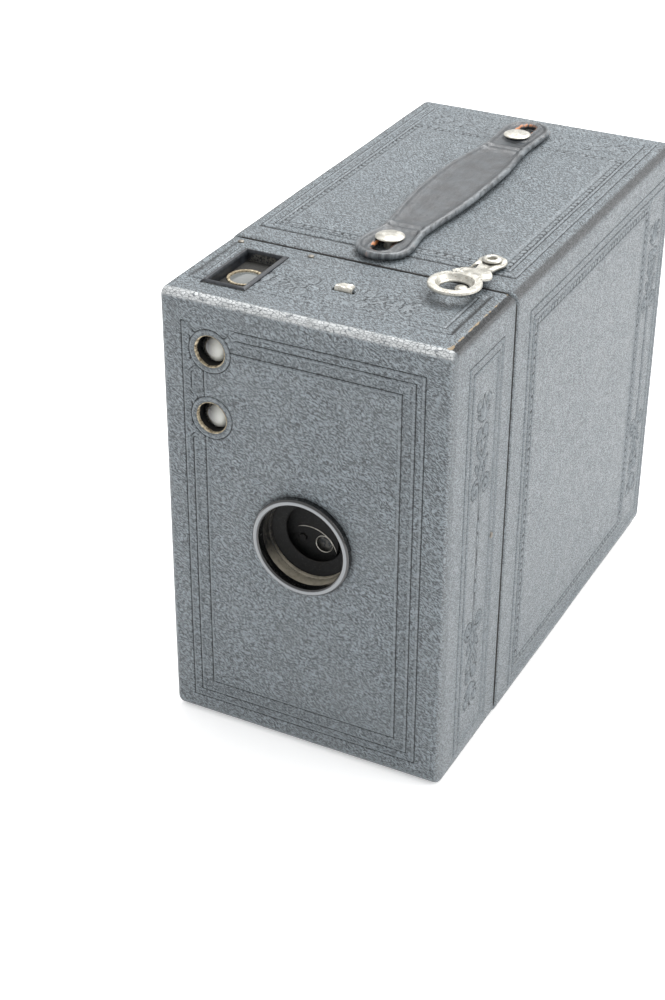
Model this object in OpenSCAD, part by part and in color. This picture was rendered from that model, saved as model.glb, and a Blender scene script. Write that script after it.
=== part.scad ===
// Roll-film box camera: a rear case, and a front section that carries the lens, shutter,
// finders and film carrier, and draws straight out of the case once the top latch is open.
// Frame: X to the right as seen from the lens side, lens side towards -Y, Z up.
// The origin is the centre of the base. "d" is always a depth measured back from the lens side.

/* [Case] */
// Width of the case, side to side
case_w = 84; // [82:1:90]
// Height of the case
case_h = 132; // [130:1:140]
// Depth from the lens side to the back
case_d = 159; // [157:1:170]
// Depth of the front section
front_d = 37; // [36.5:0.1:38]
// Thickness of the case boards
board = 3; // [2.8:0.1:3.1]
// Thickness of the leather cloth
skin = 0.6; // [0.4:0.1:0.7]
// How far the front section stands inside the outline of the rear case
set_back = 0.4; // [0.3:0.1:0.6]
// Rounding of the long edges
edge_r = 4.5; // [3:0.5:6]
// Rounding of the front top and bottom edges
nose_r = 4.5; // [3:0.5:5]

/* [Lens] */
// Outer radius of the lens ring
ring_r = 14.2; // [13.8:0.1:15]
// Inner radius of the lens ring
well_r = 12.4; // [12:0.1:12.6]
// How far the lens ring stands out of the front
ring_proud = 1.8; // [1:0.1:2.5]
// Radius of the opening behind the ring
mask_r = 8.6; // [8:0.1:9.5]
// Radius of the lens
lens_r = 8.4; // [7:0.1:8.5]

/* [Stops] */
// Distance between one stop and the next
stop_pitch = 8; // [7:0.5:8]
// Radius of the largest stop
stop_r = 2.4; // [2:0.1:3]
// Width of the pull tab on the stop slide
stop_tab_w = 4.9; // [4:0.1:6]

/* [Finders] */
// Distance of the finder lenses from the side of the case
finder_in = 15.3; // [15:0.1:16]
// Height of the upper finder lens below the top
finder_down = 15.8; // [15.5:0.1:16]
// Height between the two finder lenses
finder_gap = 19.1; // [19:0.1:20]
// Width of a finder window frame
window_w = 12.5; // [12:0.1:13]
// Length of a finder window frame
window_l = 23.4; // [22:0.1:24]

/* [Handle] */
// Thickness of the strap
strap_t = 1.8; // [1.4:0.1:2]
// Half width of the strap at its middle
strap_mid = 9; // [8:0.1:10]
// Depth of the front stud
stud_front_d = 49.5; // [49:0.5:50]
// Depth of the rear stud
stud_rear_d = 136; // [135:0.5:137]
// Radius of a stud's head
stud_head_r = 4; // [3.5:0.1:4.2]

/* [Latch] */
// Distance of the latch pivot from the middle of the case
latch_x = 29; // [28:0.5:30]
// Depth of the latch pivot
latch_d = 50; // [49:0.5:51]
// Outer radius of the latch's finger ring
latch_ring_r = 6.7; // [6:0.1:7]

/* [Film] */
// Width of the picture
picture_w = 63.5; // [60:0.5:64]
// Height of the picture
picture_h = 108; // [100:1:108]
// Depth of the spools behind the lens side
spool_d = 53; // [52.5:0.5:54]
// Height of the take-up spool
spool_z = 19; // [18.5:0.5:20]
// Radius of a spool's flange
flange_r = 12.5; // [10:0.5:12.5]
// How far the winding key draws out of the spool
key_travel = 9; // [8.5:0.5:9]

/* [Hidden] */
$fn = 48;
eps = 0.01;
half_w = case_w / 2;
lens_z = case_h / 2;
wall = skin + board;
inner_x = half_w - wall;
joint_gap = 0.3;
rear_d = front_d + joint_gap;
running = 0.05;

// front section
front_x = half_w - set_back;
front_top = case_h - set_back;
front_inner_x = front_x - wall;
front_inner_z0 = set_back + wall;
front_inner_z1 = front_top - wall;
side_nose_r = 3;
face_t = 5.4;

// finders
finder_x = finder_in - half_w;
finder_z1 = case_h - finder_down;
finder_z2 = finder_z1 - finder_gap;
finder_hole_r = 5.5;
window_d = 19.3;
sleeve_w = window_w - 1;
sleeve_l = window_l - 2.4;
clear_w = window_w - 2.5;
clear_l = window_l - 4.8;
window_rim_t = 0.5;
sheet_t = 0.5;
box_half = 6.8;
box_d1 = 31.2;
box_room = 0.4;
mirror_t = 1;
mirror_inset = 0.8;

// shutter, from front to back
disc_x = -4.8;
disc_z = lens_z - 3.9;
disc_r = 10.4;
disc_d = 9.8;
disc_t = 0.4;
port_r = 2.35;
port_arm = 6.2;
port_angle = -5;
exposure_r = 2.4;
pin_r = 1;
plate_d = 11.2;
plate_t = 0.8;
plate_x0 = -34;
plate_x1 = 20;
plate_half_h = 22;
lever_x = -24;
lever_z = disc_z;
lever_start = -14;
lever_w = 3;
lever_out = half_w + lever_x + 2.4;
lever_in = 7.8;
lever_eye_r = 2.6;
lever_t = 0.6;
lever_slot_half = 7;
cell_d = plate_d + plate_t;
cell_len = 5.8;
cell_r = 10;
pillar_r = 2;
time_z = lens_z + 14;
time_d = 12.8;
time_t = 0.6;
time_half = 2;
time_in_x = -12;
time_out_x = -half_w - 2.5;
stop_d = 19.2;
stop_t = 0.6;
stop_strip_w = 10;
stop_tab_x0 = 1.5 - stop_tab_w / 2;
stop_low = lens_z - 22;
stop_high = lens_z + 38;
stop_top = front_top + 2.8;
stop_fold = 3;
mech_d = 20.6;
mech_t = 4;
mech_hole_r = 9;

// carrier
lip_t = 1;
lip_d1 = 45;
carrier_d0 = mech_d + mech_t;
plate_in_x = 35.7;
carrier_t = 0.8;
plate_out_x = plate_in_x + carrier_t;
carrier_z0 = front_inner_z0 + lip_t + 0.4;
carrier_z1 = case_h - carrier_z0;
gate_d = 148;
gate_t = 2;
gate_half_h = lens_z - 9.7;
cone_half = 12;
cone_t = 0.8;
cone_gap = 0.02;
roller_r = 2.5;
roller_d = 146;
roller_half = lens_z - 6.7;
core_r = 4.8;
bush_r = 3.4;
bush_len = 3.5;
clip_t = 0.5;
clip_half = 4;

// winding key
key_r = 2.3;
collar_r = 4;
collar_flange_r = 6;
key_bush_r = 6;
key_bush_flange_r = 8;
blade_w = 4.4;
blade_t = 1;
blade_len = 8;
key_tip_x = -plate_out_x - 0.5;
key_slot_depth = key_travel + 1.2;
shaft_len = 8.5;
wing_len = 12.5;
wing_half = 9;
wing_t = 1.6;
wing_r = 6;
wing_hole_r = 2;
wing_hole_z = 4.6;

// handle
strap_z = case_h + 0.3;
strap_gap = 0.3;
strap_d0 = 38.5;
strap_d1 = 150.5;
end_front_r = 7.8;
end_rear_r = 7.2;
hinge_front_d = 56;
hinge_mid_d = 94.5;
hinge_rear_d = 133;
stud_r = 1.6;
head_t = 0.8;
head_dome_r = 12;
slot_half = 2.2;
slot_spare = 0.3;
slot_front_d = 43.5;
slot_rear_d = 145;

// latch
latch_low = case_h + 0.3;
latch_high = case_h + 1.8;
latch_t = 1;
latch_eye_r = 4;
latch_ring_x = latch_x - 1.7;
latch_ring_d = latch_d - 19.8;
latch_hole_r = 4.1;
latch_step_d = [latch_d - 9.5, latch_d - 5];
latch_stud_x = latch_x - 0.6;
latch_stud_d = 32;
latch_stud_neck_r = 1.3;
latch_stud_head_r = 1.75;
rivet_head_r = 2.7;

// nails
nail_r = 0.4;
nail_head_r = 0.9;
nail_xs = [-36.5, -15.5];
top_nail_d = front_d - 2.6;
side_nail_d = 28;

// back window
ruby_z = 84;
ruby_r = 6.4;
ruby_ring_r = 7.4;
ruby_inset = 1;

// ---- placing ----

function row_y(d) = d - case_d / 2;

module at(x, d, z) translate([x, row_y(d), z]) children();

module block(x0, x1, d0, d1, z0, z1) at(x0, d0, z0) cube([x1 - x0, d1 - d0, z1 - z0]);

module rod_x(x0, x1, d, z, r) at(x0, d, z) rotate([0, 90, 0]) cylinder(r = r, h = x1 - x0);

module rod_y(d0, d1, x, z, r) at(x, d0, z) rotate([-90, 0, 0]) cylinder(r = r, h = d1 - d0);

module rod_z(z0, z1, x, d, r) at(x, d, z0) cylinder(r = r, h = z1 - z0);

// A profile drawn as [x, z], swept from depth d0 to d1.
module along_y(d0, d1) at(0, d1, 0) rotate([90, 0, 0]) linear_extrude(d1 - d0) children();

// A profile drawn as [depth, z], swept from x0 to x1.
module along_x(x0, x1) translate([x0, row_y(0), 0]) rotate([90, 0, 90])
    linear_extrude(x1 - x0) children();

// A profile drawn as [radius, depth], turned round the lens axis.
module turned() at(0, 0, lens_z) rotate([-90, 0, 0]) rotate_extrude() children();

module rounded_rect(w, h, r) {
    square([w - 2 * r, h], center = true);
    square([w, h - 2 * r], center = true);
    for (sx = [-1, 1], sy = [-1, 1])
        translate([sx * (w / 2 - r), sy * (h / 2 - r)]) circle(r);
}

// A rectangle from u0 to u1 and v0 to v1, with the two corners at u0 rounded.
module nosed_rect(u0, u1, v0, v1, r) {
    translate([u0 + r, v0]) square([u1 - u0 - r, v1 - v0]);
    translate([u0, v0 + r]) square([2 * r, v1 - v0 - 2 * r]);
    for (v = [v0 + r, v1 - r])
        translate([u0 + r, v]) circle(r);
}

// ---- case ----

module rear_block(inset, d1) along_y(rear_d, d1) translate([0, lens_z])
    rounded_rect(case_w - 2 * inset, case_h - 2 * inset, edge_r - inset);

module front_block(inset) {
    out = set_back + inset;
    intersection() {
        along_y(0, front_d) translate([0, lens_z])
            rounded_rect(case_w - 2 * out, case_h - 2 * out, edge_r - inset);
        along_x(-half_w, half_w) nosed_rect(inset, front_d, out, case_h - out, nose_r - inset);
        linear_extrude(case_h) translate([0, row_y(0)]) rotate(90) mirror([0, 1])
            nosed_rect(inset, front_d, out - half_w, half_w - out, side_nose_r - inset);
    }
}

module rear_holes() {
    for (d = [stud_front_d, stud_rear_d]) rod_z(case_h - wall - 1, case_h + 1, 0, d, stud_r);
    rod_z(case_h - wall - 1, case_h + 1, latch_x, latch_d, stud_r);
    rod_x(-half_w - 1, 1 - inner_x, spool_d, spool_z, key_bush_r);
    rod_y(case_d - wall - 1, case_d - skin - ruby_inset, 0, ruby_z, ruby_r);
    rod_y(case_d - skin - ruby_inset, case_d + 1, 0, ruby_z, ruby_ring_r);
}

module rear_shell() color("#2b2a28") difference() {
    rear_block(skin, case_d - skin);
    block(-inner_x, inner_x, rear_d - 1, case_d - wall, wall, case_h - wall);
    rear_holes();
}

module rear_wrap() color("#4f5559") difference() {
    rear_block(0, case_d - skin);
    rear_block(skin, case_d);
    block(edge_r - half_w, half_w - edge_r, rear_d - 1, case_d, -1, wall);
    rear_holes();
}

module rear_base_sheet() color("#4f5559")
    block(edge_r - half_w, half_w - edge_r, rear_d, case_d - skin, 0, skin);

module back_sheet() color("#4f5559") difference() {
    along_y(case_d - skin, case_d) translate([0, lens_z]) rounded_rect(case_w, case_h, edge_r);
    rear_holes();
}

module ruby_window() color("#8a1410")
    rod_y(case_d - wall, case_d - skin - ruby_inset, 0, ruby_z, ruby_r);

module ruby_window_ring() color("#1c1c1c") difference() {
    rod_y(case_d - skin - ruby_inset, case_d, 0, ruby_z, ruby_ring_r);
    rod_y(case_d - wall, case_d + 1, 0, ruby_z, ruby_r - 0.9);
}

// Everything that passes through the boards or the cloth of the front section.
module front_holes() {
    rod_y(-1, face_t + 1, 0, lens_z, well_r + 0.7);
    for (z = [finder_z1, finder_z2]) rod_y(-1, face_t + 1, finder_x, z, finder_hole_r);
    top_window(sleeve_w, sleeve_l, front_inner_z1 - 1, case_h + 2);
    side_window(sleeve_w, sleeve_l, -half_w - 2, 1 - front_inner_x);
    block(stop_tab_x0 - 0.5, stop_tab_x0 + stop_tab_w + 0.5, stop_d - 0.5, stop_d + stop_t + 0.4,
        case_h - wall - 1, case_h + 1);
    block(-half_w - 1, 1 - front_inner_x, disc_d - 0.5, disc_d + lever_t + 0.5,
        lever_z - lever_slot_half, lever_z + lever_slot_half);
    block(-half_w - 1, 1 - front_inner_x, time_d - 0.4, time_d + time_t + 0.4,
        time_z - time_half - 0.4, time_z + time_half + 0.4);
    rod_z(front_inner_z1 - 1, case_h, latch_stud_x, latch_stud_d, pin_r);
}

module front_shell() color("#2b2a28") difference() {
    front_block(skin);
    block(-front_inner_x, front_inner_x, face_t, front_d + 1, front_inner_z0, front_inner_z1);
    front_holes();
}

module front_face_zone() block(side_nose_r - front_x, front_x - side_nose_r, -1, skin,
    set_back + nose_r, front_top - nose_r);

module front_base_zone() block(edge_r - front_x, front_x - edge_r, nose_r, front_d,
    0, set_back + skin);

module front_skin() difference() {
    front_block(0);
    front_block(skin);
    at(-case_w, front_d, -1) cube([2 * case_w, 1, case_h + 2]);
    front_holes();
}

module front_wrap() color("#4f5559") difference() {
    front_skin();
    front_face_zone();
    front_base_zone();
}

module front_face_sheet() color("#454b50") intersection() {
    front_skin();
    front_face_zone();
}

module front_base_sheet() color("#4f5559") intersection() {
    front_skin();
    front_base_zone();
}

module front_nails() color("#8f8c86") {
    for (x = nail_xs) {
        rod_z(front_top - 2, front_top + 0.15, x, top_nail_d, nail_r);
        rod_z(front_top, front_top + 0.3, x, top_nail_d, nail_head_r);
    }
    for (s = [-1, 1]) scale([s, 1, 1]) {
        rod_x(front_x - 2, front_x + 0.15, side_nail_d, lens_z, nail_r);
        rod_x(front_x, front_x + 0.3, side_nail_d, lens_z, nail_head_r);
    }
}

// ---- carrying handle: one leather strap, drawn in four lengths that fold on each other ----

// [depth, half width] down one side of the strap
strap_edge = [
    [strap_d0 + end_front_r, end_front_r], [50, 7.4], [57, 6.4], [64, 6.8], [76, 8.2],
    [86, strap_mid - 0.1], [94, strap_mid], [104, strap_mid - 0.1], [114, 8.2], [124, 7],
    [129, 6.7], [137, 7], [strap_d1 - end_rear_r, end_rear_r]
];
strap_last = len(strap_edge) - 1;
function strap_point(i, side) = [side * strap_edge[i][1], row_y(strap_edge[i][0])];

module strap_solid() {
    translate([0, 0, strap_z]) linear_extrude(strap_t) polygon(concat(
        [for (i = [0:strap_last]) strap_point(i, -1)],
        [for (i = [strap_last:-1:0]) strap_point(i, 1)]
    ));
    rod_z(strap_z, strap_z + strap_t, 0, strap_d0 + end_front_r, end_front_r);
    rod_z(strap_z, strap_z + strap_t, 0, strap_d1 - end_rear_r, end_rear_r);
}

module strap_slot(d0, d1) {
    block(-slot_half, slot_half, d0, d1, case_h, strap_z + strap_t + 1);
    for (d = [d0, d1]) rod_z(case_h, strap_z + strap_t + 1, 0, d, slot_half);
}

module strap_length(d0, d1) color("#2e3236") intersection() {
    difference() {
        strap_solid();
        strap_slot(slot_front_d, stud_front_d + slot_spare);
        strap_slot(stud_rear_d - slot_spare, slot_rear_d);
    }
    block(-half_w, half_w, d0, d1, case_h, case_h + 10);
}

module handle_end_front() strap_length(strap_d0 - 1, hinge_front_d - strap_gap / 2);
module handle_front() strap_length(hinge_front_d + strap_gap / 2, hinge_mid_d - strap_gap / 2);
module handle_rear() strap_length(hinge_mid_d + strap_gap / 2, hinge_rear_d - strap_gap / 2);
module handle_end_rear() strap_length(hinge_rear_d + strap_gap / 2, strap_d1 + 1);

module handle_studs() color("#d9d5c8") for (d = [stud_front_d, stud_rear_d]) {
    head_z = strap_z + strap_t + 0.4;
    rod_z(case_h - wall, head_z + eps, 0, d, stud_r);
    intersection() {
        rod_z(head_z, head_z + head_t, 0, d, stud_head_r);
        at(0, d, head_z + head_t - head_dome_r) sphere(head_dome_r);
    }
}

// ---- latch ----

// The arm's outline: an eye on the rivet, a waist, two shoulders and the finger ring.
module latch_plan() {
    translate([latch_x, row_y(latch_d)]) circle(latch_eye_r);
    hull() {
        translate([latch_x, row_y(latch_d - 2)]) circle(3);
        translate([latch_x + 0.2, row_y(latch_d - 7)]) circle(2.4);
    }
    hull() {
        translate([latch_x + 0.2, row_y(latch_d - 7)]) circle(2.4);
        translate([latch_x - 4.2, row_y(latch_d - 12.6)]) circle(1.4);
        translate([latch_x + 3.4, row_y(latch_d - 12)]) circle(1.4);
        translate([latch_ring_x, row_y(latch_ring_d)]) circle(4.5);
    }
    translate([latch_ring_x, row_y(latch_ring_d)]) circle(latch_ring_r);
}

// The arm's side view: it steps up to pass over the stud.
module latch_profile() polygon([
    [0, latch_high], [latch_step_d[0], latch_high], [latch_step_d[1], latch_low],
    [front_d + latch_d, latch_low], [front_d + latch_d, latch_low + latch_t],
    [latch_step_d[1], latch_low + latch_t], [latch_step_d[0], latch_high + latch_t],
    [0, latch_high + latch_t]
]);

module latch() color("#d9d5c8") difference() {
    intersection() {
        linear_extrude(case_h + 10) latch_plan();
        along_x(0, half_w) latch_profile();
    }
    rod_z(case_h - 1, case_h + 10, latch_x, latch_d, stud_r + running);
    rod_z(case_h - 1, case_h + 10, latch_ring_x, latch_ring_d + 0.4, latch_hole_r);
}

module latch_rivet() color("#d9d5c8") {
    head_z = latch_low + latch_t + 0.3;
    rod_z(case_h - wall, head_z + eps, latch_x, latch_d, stud_r);
    rod_z(head_z, head_z + 0.6, latch_x, latch_d, rivet_head_r);
}

module latch_stud() color("#d9d5c8") {
    rod_z(front_inner_z1, front_top + 1.3, latch_stud_x, latch_stud_d, pin_r);
    rod_z(front_top, front_top + 1, latch_stud_x, latch_stud_d, latch_stud_neck_r);
    rod_z(front_top + 1 - eps, front_top + 1.8, latch_stud_x, latch_stud_d, latch_stud_head_r);
}

// ---- winding key, drawn clear of the spool ----

module key_bush() color("#b9a676") difference() {
    union() {
        rod_x(-half_w, -inner_x, spool_d, spool_z, key_bush_r);
        rod_x(-half_w - 0.8, -half_w, spool_d, spool_z, key_bush_flange_r);
    }
    rod_x(-half_w - 2, 1 - inner_x, spool_d, spool_z, collar_r + running);
}

module key_collar() color("#c9c4b5") difference() {
    union() {
        rod_x(-half_w - 1.2, 0.2 - inner_x, spool_d, spool_z, collar_r);
        rod_x(-half_w - 2, -half_w - 1.1, spool_d, spool_z, collar_flange_r);
    }
    rod_x(-half_w - 3, 1 - inner_x, spool_d, spool_z, key_r + running);
}

module wing_outline() {
    square([wing_len - wing_r, 2 * wing_half - wing_r], center = true);
    square([wing_len, 2 * (wing_half - wing_r)], center = true);
    for (s = [-1, 1]) translate([0, s * (wing_half - wing_r)]) circle(wing_r);
}

module winding_key() color("#c9c4b5") {
    blade_x = key_tip_x - blade_len;
    wing_x = blade_x - shaft_len;
    block(blade_x - eps, key_tip_x, spool_d - blade_t / 2, spool_d + blade_t / 2,
        spool_z - blade_w / 2, spool_z + blade_w / 2);
    rod_x(wing_x - 1, blade_x, spool_d, spool_z, key_r);
    difference() {
        at(wing_x - wing_len / 2, spool_d + wing_t / 2, spool_z) rotate([90, 0, 0])
            linear_extrude(wing_t) wing_outline();
        for (s = [-1, 1]) rod_y(spool_d - wing_t, spool_d + wing_t, wing_x - wing_len / 2,
            spool_z + s * wing_hole_z, wing_hole_r);
    }
}

// ---- lens and shutter ----

module lens_ring() color("#101112") turned() polygon([
    [well_r, 0.4 - ring_proud], [well_r + 0.5, -ring_proud], [ring_r - 0.6, -ring_proud],
    [ring_r, 0.6 - ring_proud], [ring_r, 0], [well_r + 0.7, 0], [well_r + 0.7, face_t],
    [well_r, face_t]
]);

module lens_mask() color("#1a1b1c") turned() polygon([
    [well_r + 0.7, face_t], [well_r + 0.7, face_t + 0.6], [mask_r, face_t + 1.8],
    [mask_r, face_t + 1.2], [well_r - 0.6, face_t]
]);

module shutter_disc() color("#18191a") difference() {
    rod_y(disc_d, disc_d + disc_t, disc_x, disc_z, disc_r);
    rod_y(disc_d - 1, disc_d + 1, disc_x + port_arm * cos(port_angle),
        disc_z + port_arm * sin(port_angle), port_r);
    rod_y(disc_d - 1, disc_d + 1, disc_x, disc_z, pin_r + running);
}

module shutter_pins() color("#8f8c86") for (x = [disc_x, lever_x])
    rod_y(disc_d - 0.6, plate_d + plate_t, x, disc_z, pin_r);

module shutter_plate() color("#26272a") difference() {
    block(plate_x0, plate_x1, plate_d, plate_d + plate_t, lens_z - plate_half_h, lens_z + plate_half_h);
    rod_y(plate_d - 1, plate_d + 2, 0, lens_z, exposure_r);
    for (x = [disc_x, lever_x]) rod_y(plate_d - 1, plate_d + 2, x, disc_z, pin_r);
}

module shutter_lever() color("#c9c4b5") at(lever_x, disc_d, lever_z) rotate([0, lever_start, 0])
    rotate([-90, 0, 0]) difference() {
        union() {
            translate([-lever_out, -lever_w / 2, 0]) cube([lever_out + lever_in, lever_w, lever_t]);
            for (x = [-lever_out, 0]) translate([x, 0, 0]) cylinder(r = lever_eye_r, h = lever_t);
        }
        translate([0, 0, -1]) cylinder(r = pin_r + running, h = lever_t + 2);
    }

// A flat coil round the lever's post, with its free end along the lever.
module shutter_spring() color("#b0aca0") difference() {
    union() {
        rod_y(disc_d + 0.8, disc_d + 1.2, lever_x, lever_z, 2.4);
        block(lever_x, lever_x + 9, disc_d + 0.8, disc_d + 1.2, lever_z + 1.4, lever_z + 2);
    }
    rod_y(disc_d, disc_d + 2, lever_x, lever_z, 1.8);
}

module time_slide() color("#c9c4b5") {
    block(time_out_x, time_in_x, time_d, time_d + time_t, time_z - time_half, time_z + time_half);
    block(time_out_x, time_out_x + time_t, time_d - 1.5, time_d + 2, time_z - time_half,
        time_z + time_half);
}

module plate_pillars() color("#8f8c86") for (x = [plate_x0 + 3, plate_x1 - 3], s = [-1, 1])
    rod_y(plate_d + plate_t, mech_d, x, lens_z + s * (plate_half_h - 3), pillar_r);

module lens_cell() color("#1c1d1e") turned() polygon([
    [lens_r, cell_d], [cell_r + 2, cell_d], [cell_r + 2, cell_d + 1], [cell_r, cell_d + 1],
    [cell_r, cell_d + cell_len], [lens_r, cell_d + cell_len]
]);

module lens_glass() color([0.75, 0.85, 0.9, 0.5]) difference() {
    intersection() {
        rod_y(cell_d + 0.5, cell_d + 4, 0, lens_z, lens_r);
        at(0, cell_d + 3.6 - 20, lens_z) sphere(20, $fn = 96);
    }
    at(0, cell_d + 1.4 - 30, lens_z) sphere(30, $fn = 96);
}

module lens_retainer() color("#8f8c86") turned() polygon([
    [lens_r - 0.9, cell_d + 4], [lens_r, cell_d + 4], [lens_r, cell_d + 5], [lens_r - 0.9, cell_d + 5]
]);

module stop_slide() color("#d9d5c8") {
    difference() {
        union() {
            block(-stop_strip_w / 2, stop_strip_w / 2, stop_d, stop_d + stop_t, stop_low, stop_high);
            block(stop_tab_x0, stop_tab_x0 + stop_tab_w, stop_d, stop_d + stop_t,
                stop_high - eps, stop_top);
        }
        for (i = [0:2])
            rod_y(stop_d - 1, stop_d + 2, 0, lens_z - i * stop_pitch, stop_r * pow(0.7, i));
    }
    block(stop_tab_x0, stop_tab_x0 + stop_tab_w, stop_d, stop_d + stop_fold,
        stop_top - stop_t, stop_top);
}

// Two folded strips, left and right, that the slide runs between.
module stop_guides() color("#26272a") for (s = [-1, 1]) scale([s, 1, 1]) {
    edge = stop_strip_w / 2;
    block(edge + 0.3, edge + 3, stop_d - 0.9, mech_d, stop_low - 2, stop_high - 2);
    block(edge - 1, edge + 0.3, stop_d - 0.9, stop_d - 0.3, stop_low - 2, stop_high - 2);
}

module mechanism_board() color("#3a2f25") difference() {
    block(-front_inner_x, front_inner_x, mech_d, mech_d + mech_t, front_inner_z0, front_inner_z1);
    rod_y(mech_d - 1, mech_d + mech_t + 1, 0, lens_z, mech_hole_r);
    finder_room(mech_d - 1, mech_d + mech_t + 1);
}

// ---- finders ----

// The corner that both finder boxes fill.
module finder_room(d0, d1) block(-half_w, finder_x + box_half + box_room, d0, d1,
    finder_z2 - box_half - box_room, case_h);

module top_window(w, l, z0, z1) block(finder_x - w / 2, finder_x + w / 2,
    window_d - l / 2, window_d + l / 2, z0, z1);

module side_window(w, l, x0, x1) block(x0, x1, window_d - l / 2, window_d + l / 2,
    finder_z2 - w / 2, finder_z2 + w / 2);

module finder_lenses() color([0.8, 0.88, 0.92, 0.5]) for (z = [finder_z1, finder_z2])
    intersection() {
        rod_y(1, face_t, finder_x, z, finder_hole_r);
        at(finder_x, 2.4 + 9, z) sphere(9, $fn = 96);
    }

module finder_shell(x0, x1, z0, z1) difference() {
    block(x0, x1, face_t, box_d1, z0, z1);
    block(x0 + sheet_t, x1 - sheet_t, face_t + sheet_t, box_d1 - sheet_t, z0 + sheet_t, z1 - sheet_t);
}

module top_finder_box() color("#1c1d1e") difference() {
    finder_shell(finder_x - box_half, finder_x + box_half, finder_z1 - 8, front_inner_z1);
    block(finder_x - box_half + sheet_t, finder_x + box_half - sheet_t, face_t + sheet_t,
        box_d1 - sheet_t, front_inner_z1 - 1, case_h);
    rod_y(0, face_t + 1, finder_x, finder_z1, finder_hole_r - 0.3);
}

// A glass strip set at 45 degrees under the window, seen from the side.
module mirror_profile(half_len) polygon([
    [-half_len, -half_len], [half_len, half_len],
    [half_len + mirror_t * 0.7, half_len - mirror_t * 0.7],
    [-half_len + mirror_t * 0.7, -half_len - mirror_t * 0.7]
]);

module top_finder_mirror() color("#c8ccd0")
    along_x(finder_x - box_half + mirror_inset, finder_x + box_half - mirror_inset)
        translate([window_d, finder_z1]) mirror_profile(6.7);

module top_finder_frame() color("#1a1b1c") difference() {
    union() {
        top_window(sleeve_w, sleeve_l, front_inner_z1, front_top + eps);
        top_window(window_w, window_l, front_top, front_top + window_rim_t);
    }
    top_window(clear_w, clear_l, front_inner_z1 - 1, case_h + 2);
}

module side_finder_box() color("#1c1d1e") difference() {
    finder_shell(-front_inner_x, finder_x + box_half, finder_z2 - box_half, finder_z2 + box_half);
    block(-front_inner_x - 1, 1 - front_inner_x, face_t + sheet_t, box_d1 - sheet_t,
        finder_z2 - box_half + sheet_t, finder_z2 + box_half - sheet_t);
    rod_y(0, face_t + 1, finder_x, finder_z2, finder_hole_r - 0.3);
}

module side_finder_mirror() color("#c8ccd0")
    translate([finder_x, row_y(window_d), finder_z2 - box_half + mirror_inset])
        linear_extrude(2 * (box_half - mirror_inset)) scale([-1, 1]) mirror_profile(5.4);

module side_finder_frame() color("#1a1b1c") difference() {
    union() {
        side_window(sleeve_w, sleeve_l, -front_x - eps, -front_inner_x);
        side_window(window_w, window_l, -front_x - window_rim_t, -front_x);
    }
    side_window(clear_w, clear_l, -half_w - 2, 1 - front_inner_x);
}

// ---- film carrier ----

module light_lip() color("#1c1d1e") difference() {
    block(-front_inner_x, front_inner_x, carrier_d0, lip_d1, front_inner_z0, front_inner_z1);
    block(lip_t - front_inner_x, front_inner_x - lip_t, carrier_d0 - 1, lip_d1 + 1,
        front_inner_z0 + lip_t, front_inner_z1 - lip_t);
    finder_room(carrier_d0 - 1, box_d1 + box_room);
}

module roller_rods(r, x) for (s = [-1, 1]) rod_x(-x, x, roller_d, lens_z + s * roller_half, r);

module carrier_plates() color("#26272a") difference() {
    for (x = [-plate_out_x, plate_in_x])
        block(x, x + carrier_t, carrier_d0, gate_d + gate_t, carrier_z0, carrier_z1);
    roller_rods(pin_r + running, case_w);
    for (z = [spool_z, case_h - spool_z]) rod_x(-case_w, case_w, spool_d, z, bush_r);
    finder_room(carrier_d0 - 1, box_d1 + box_room);
}

// One flat wall of the cone, between its outline at the board and its outline at the gate.
// Each outline is [x0, x1, z0, z1], with z measured from the lens axis.
module cone_wall(front, rear) hull() {
    block(front[0], front[1], carrier_d0, carrier_d0 + eps, lens_z + front[2], lens_z + front[3]);
    block(rear[0], rear[1], gate_d - eps, gate_d, lens_z + rear[2], lens_z + rear[3]);
}

// Two side walls, and a top and a bottom wall that cover their edges, glued along a thin gap.
module film_cone() color("#1a1b1c") for (s = [-1, 1]) {
    half_pw = picture_w / 2;
    half_ph = picture_h / 2;
    side_front = cone_half - cone_gap;
    side_rear = half_ph - cone_gap;
    scale([s, 1, 1]) cone_wall([cone_half, cone_half + cone_t, -side_front, side_front],
        [half_pw, half_pw + cone_t, -side_rear, side_rear]);
    z_front = [cone_half, cone_half + cone_t];
    z_rear = [half_ph, half_ph + cone_t];
    cone_wall([-cone_half - cone_t, cone_half + cone_t, min(s * z_front), max(s * z_front)],
        [-half_pw - cone_t, half_pw + cone_t, min(s * z_rear), max(s * z_rear)]);
}

module film_gate() color("#26272a") difference() {
    block(-plate_in_x, plate_in_x, gate_d, gate_d + gate_t, lens_z - gate_half_h, lens_z + gate_half_h);
    block(-picture_w / 2, picture_w / 2, gate_d - 1, gate_d + gate_t + 1,
        lens_z - picture_h / 2, lens_z + picture_h / 2);
}

module roller(side) color("#b9b4a6") {
    z = lens_z + side * roller_half;
    rod_x(0.4 - plate_in_x, plate_in_x - 0.4, roller_d, z, roller_r);
    rod_x(0.1 - plate_out_x, plate_out_x - 0.1, roller_d, z, pin_r);
}

module roller_top() roller(1);
module roller_bottom() roller(-1);

// Spring clips with a pin each, for the full spool at the top.
module supply_spool_clips() color("#b9a676") for (s = [-1, 1]) scale([s, 1, 1]) {
    rod_x(plate_in_x - bush_len + 1, plate_out_x, spool_d, case_h - spool_z, bush_r);
    block(plate_in_x - clip_t, plate_in_x, spool_d - 5, spool_d + 24,
        case_h - spool_z - clip_half, case_h - spool_z + clip_half);
}

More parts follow.
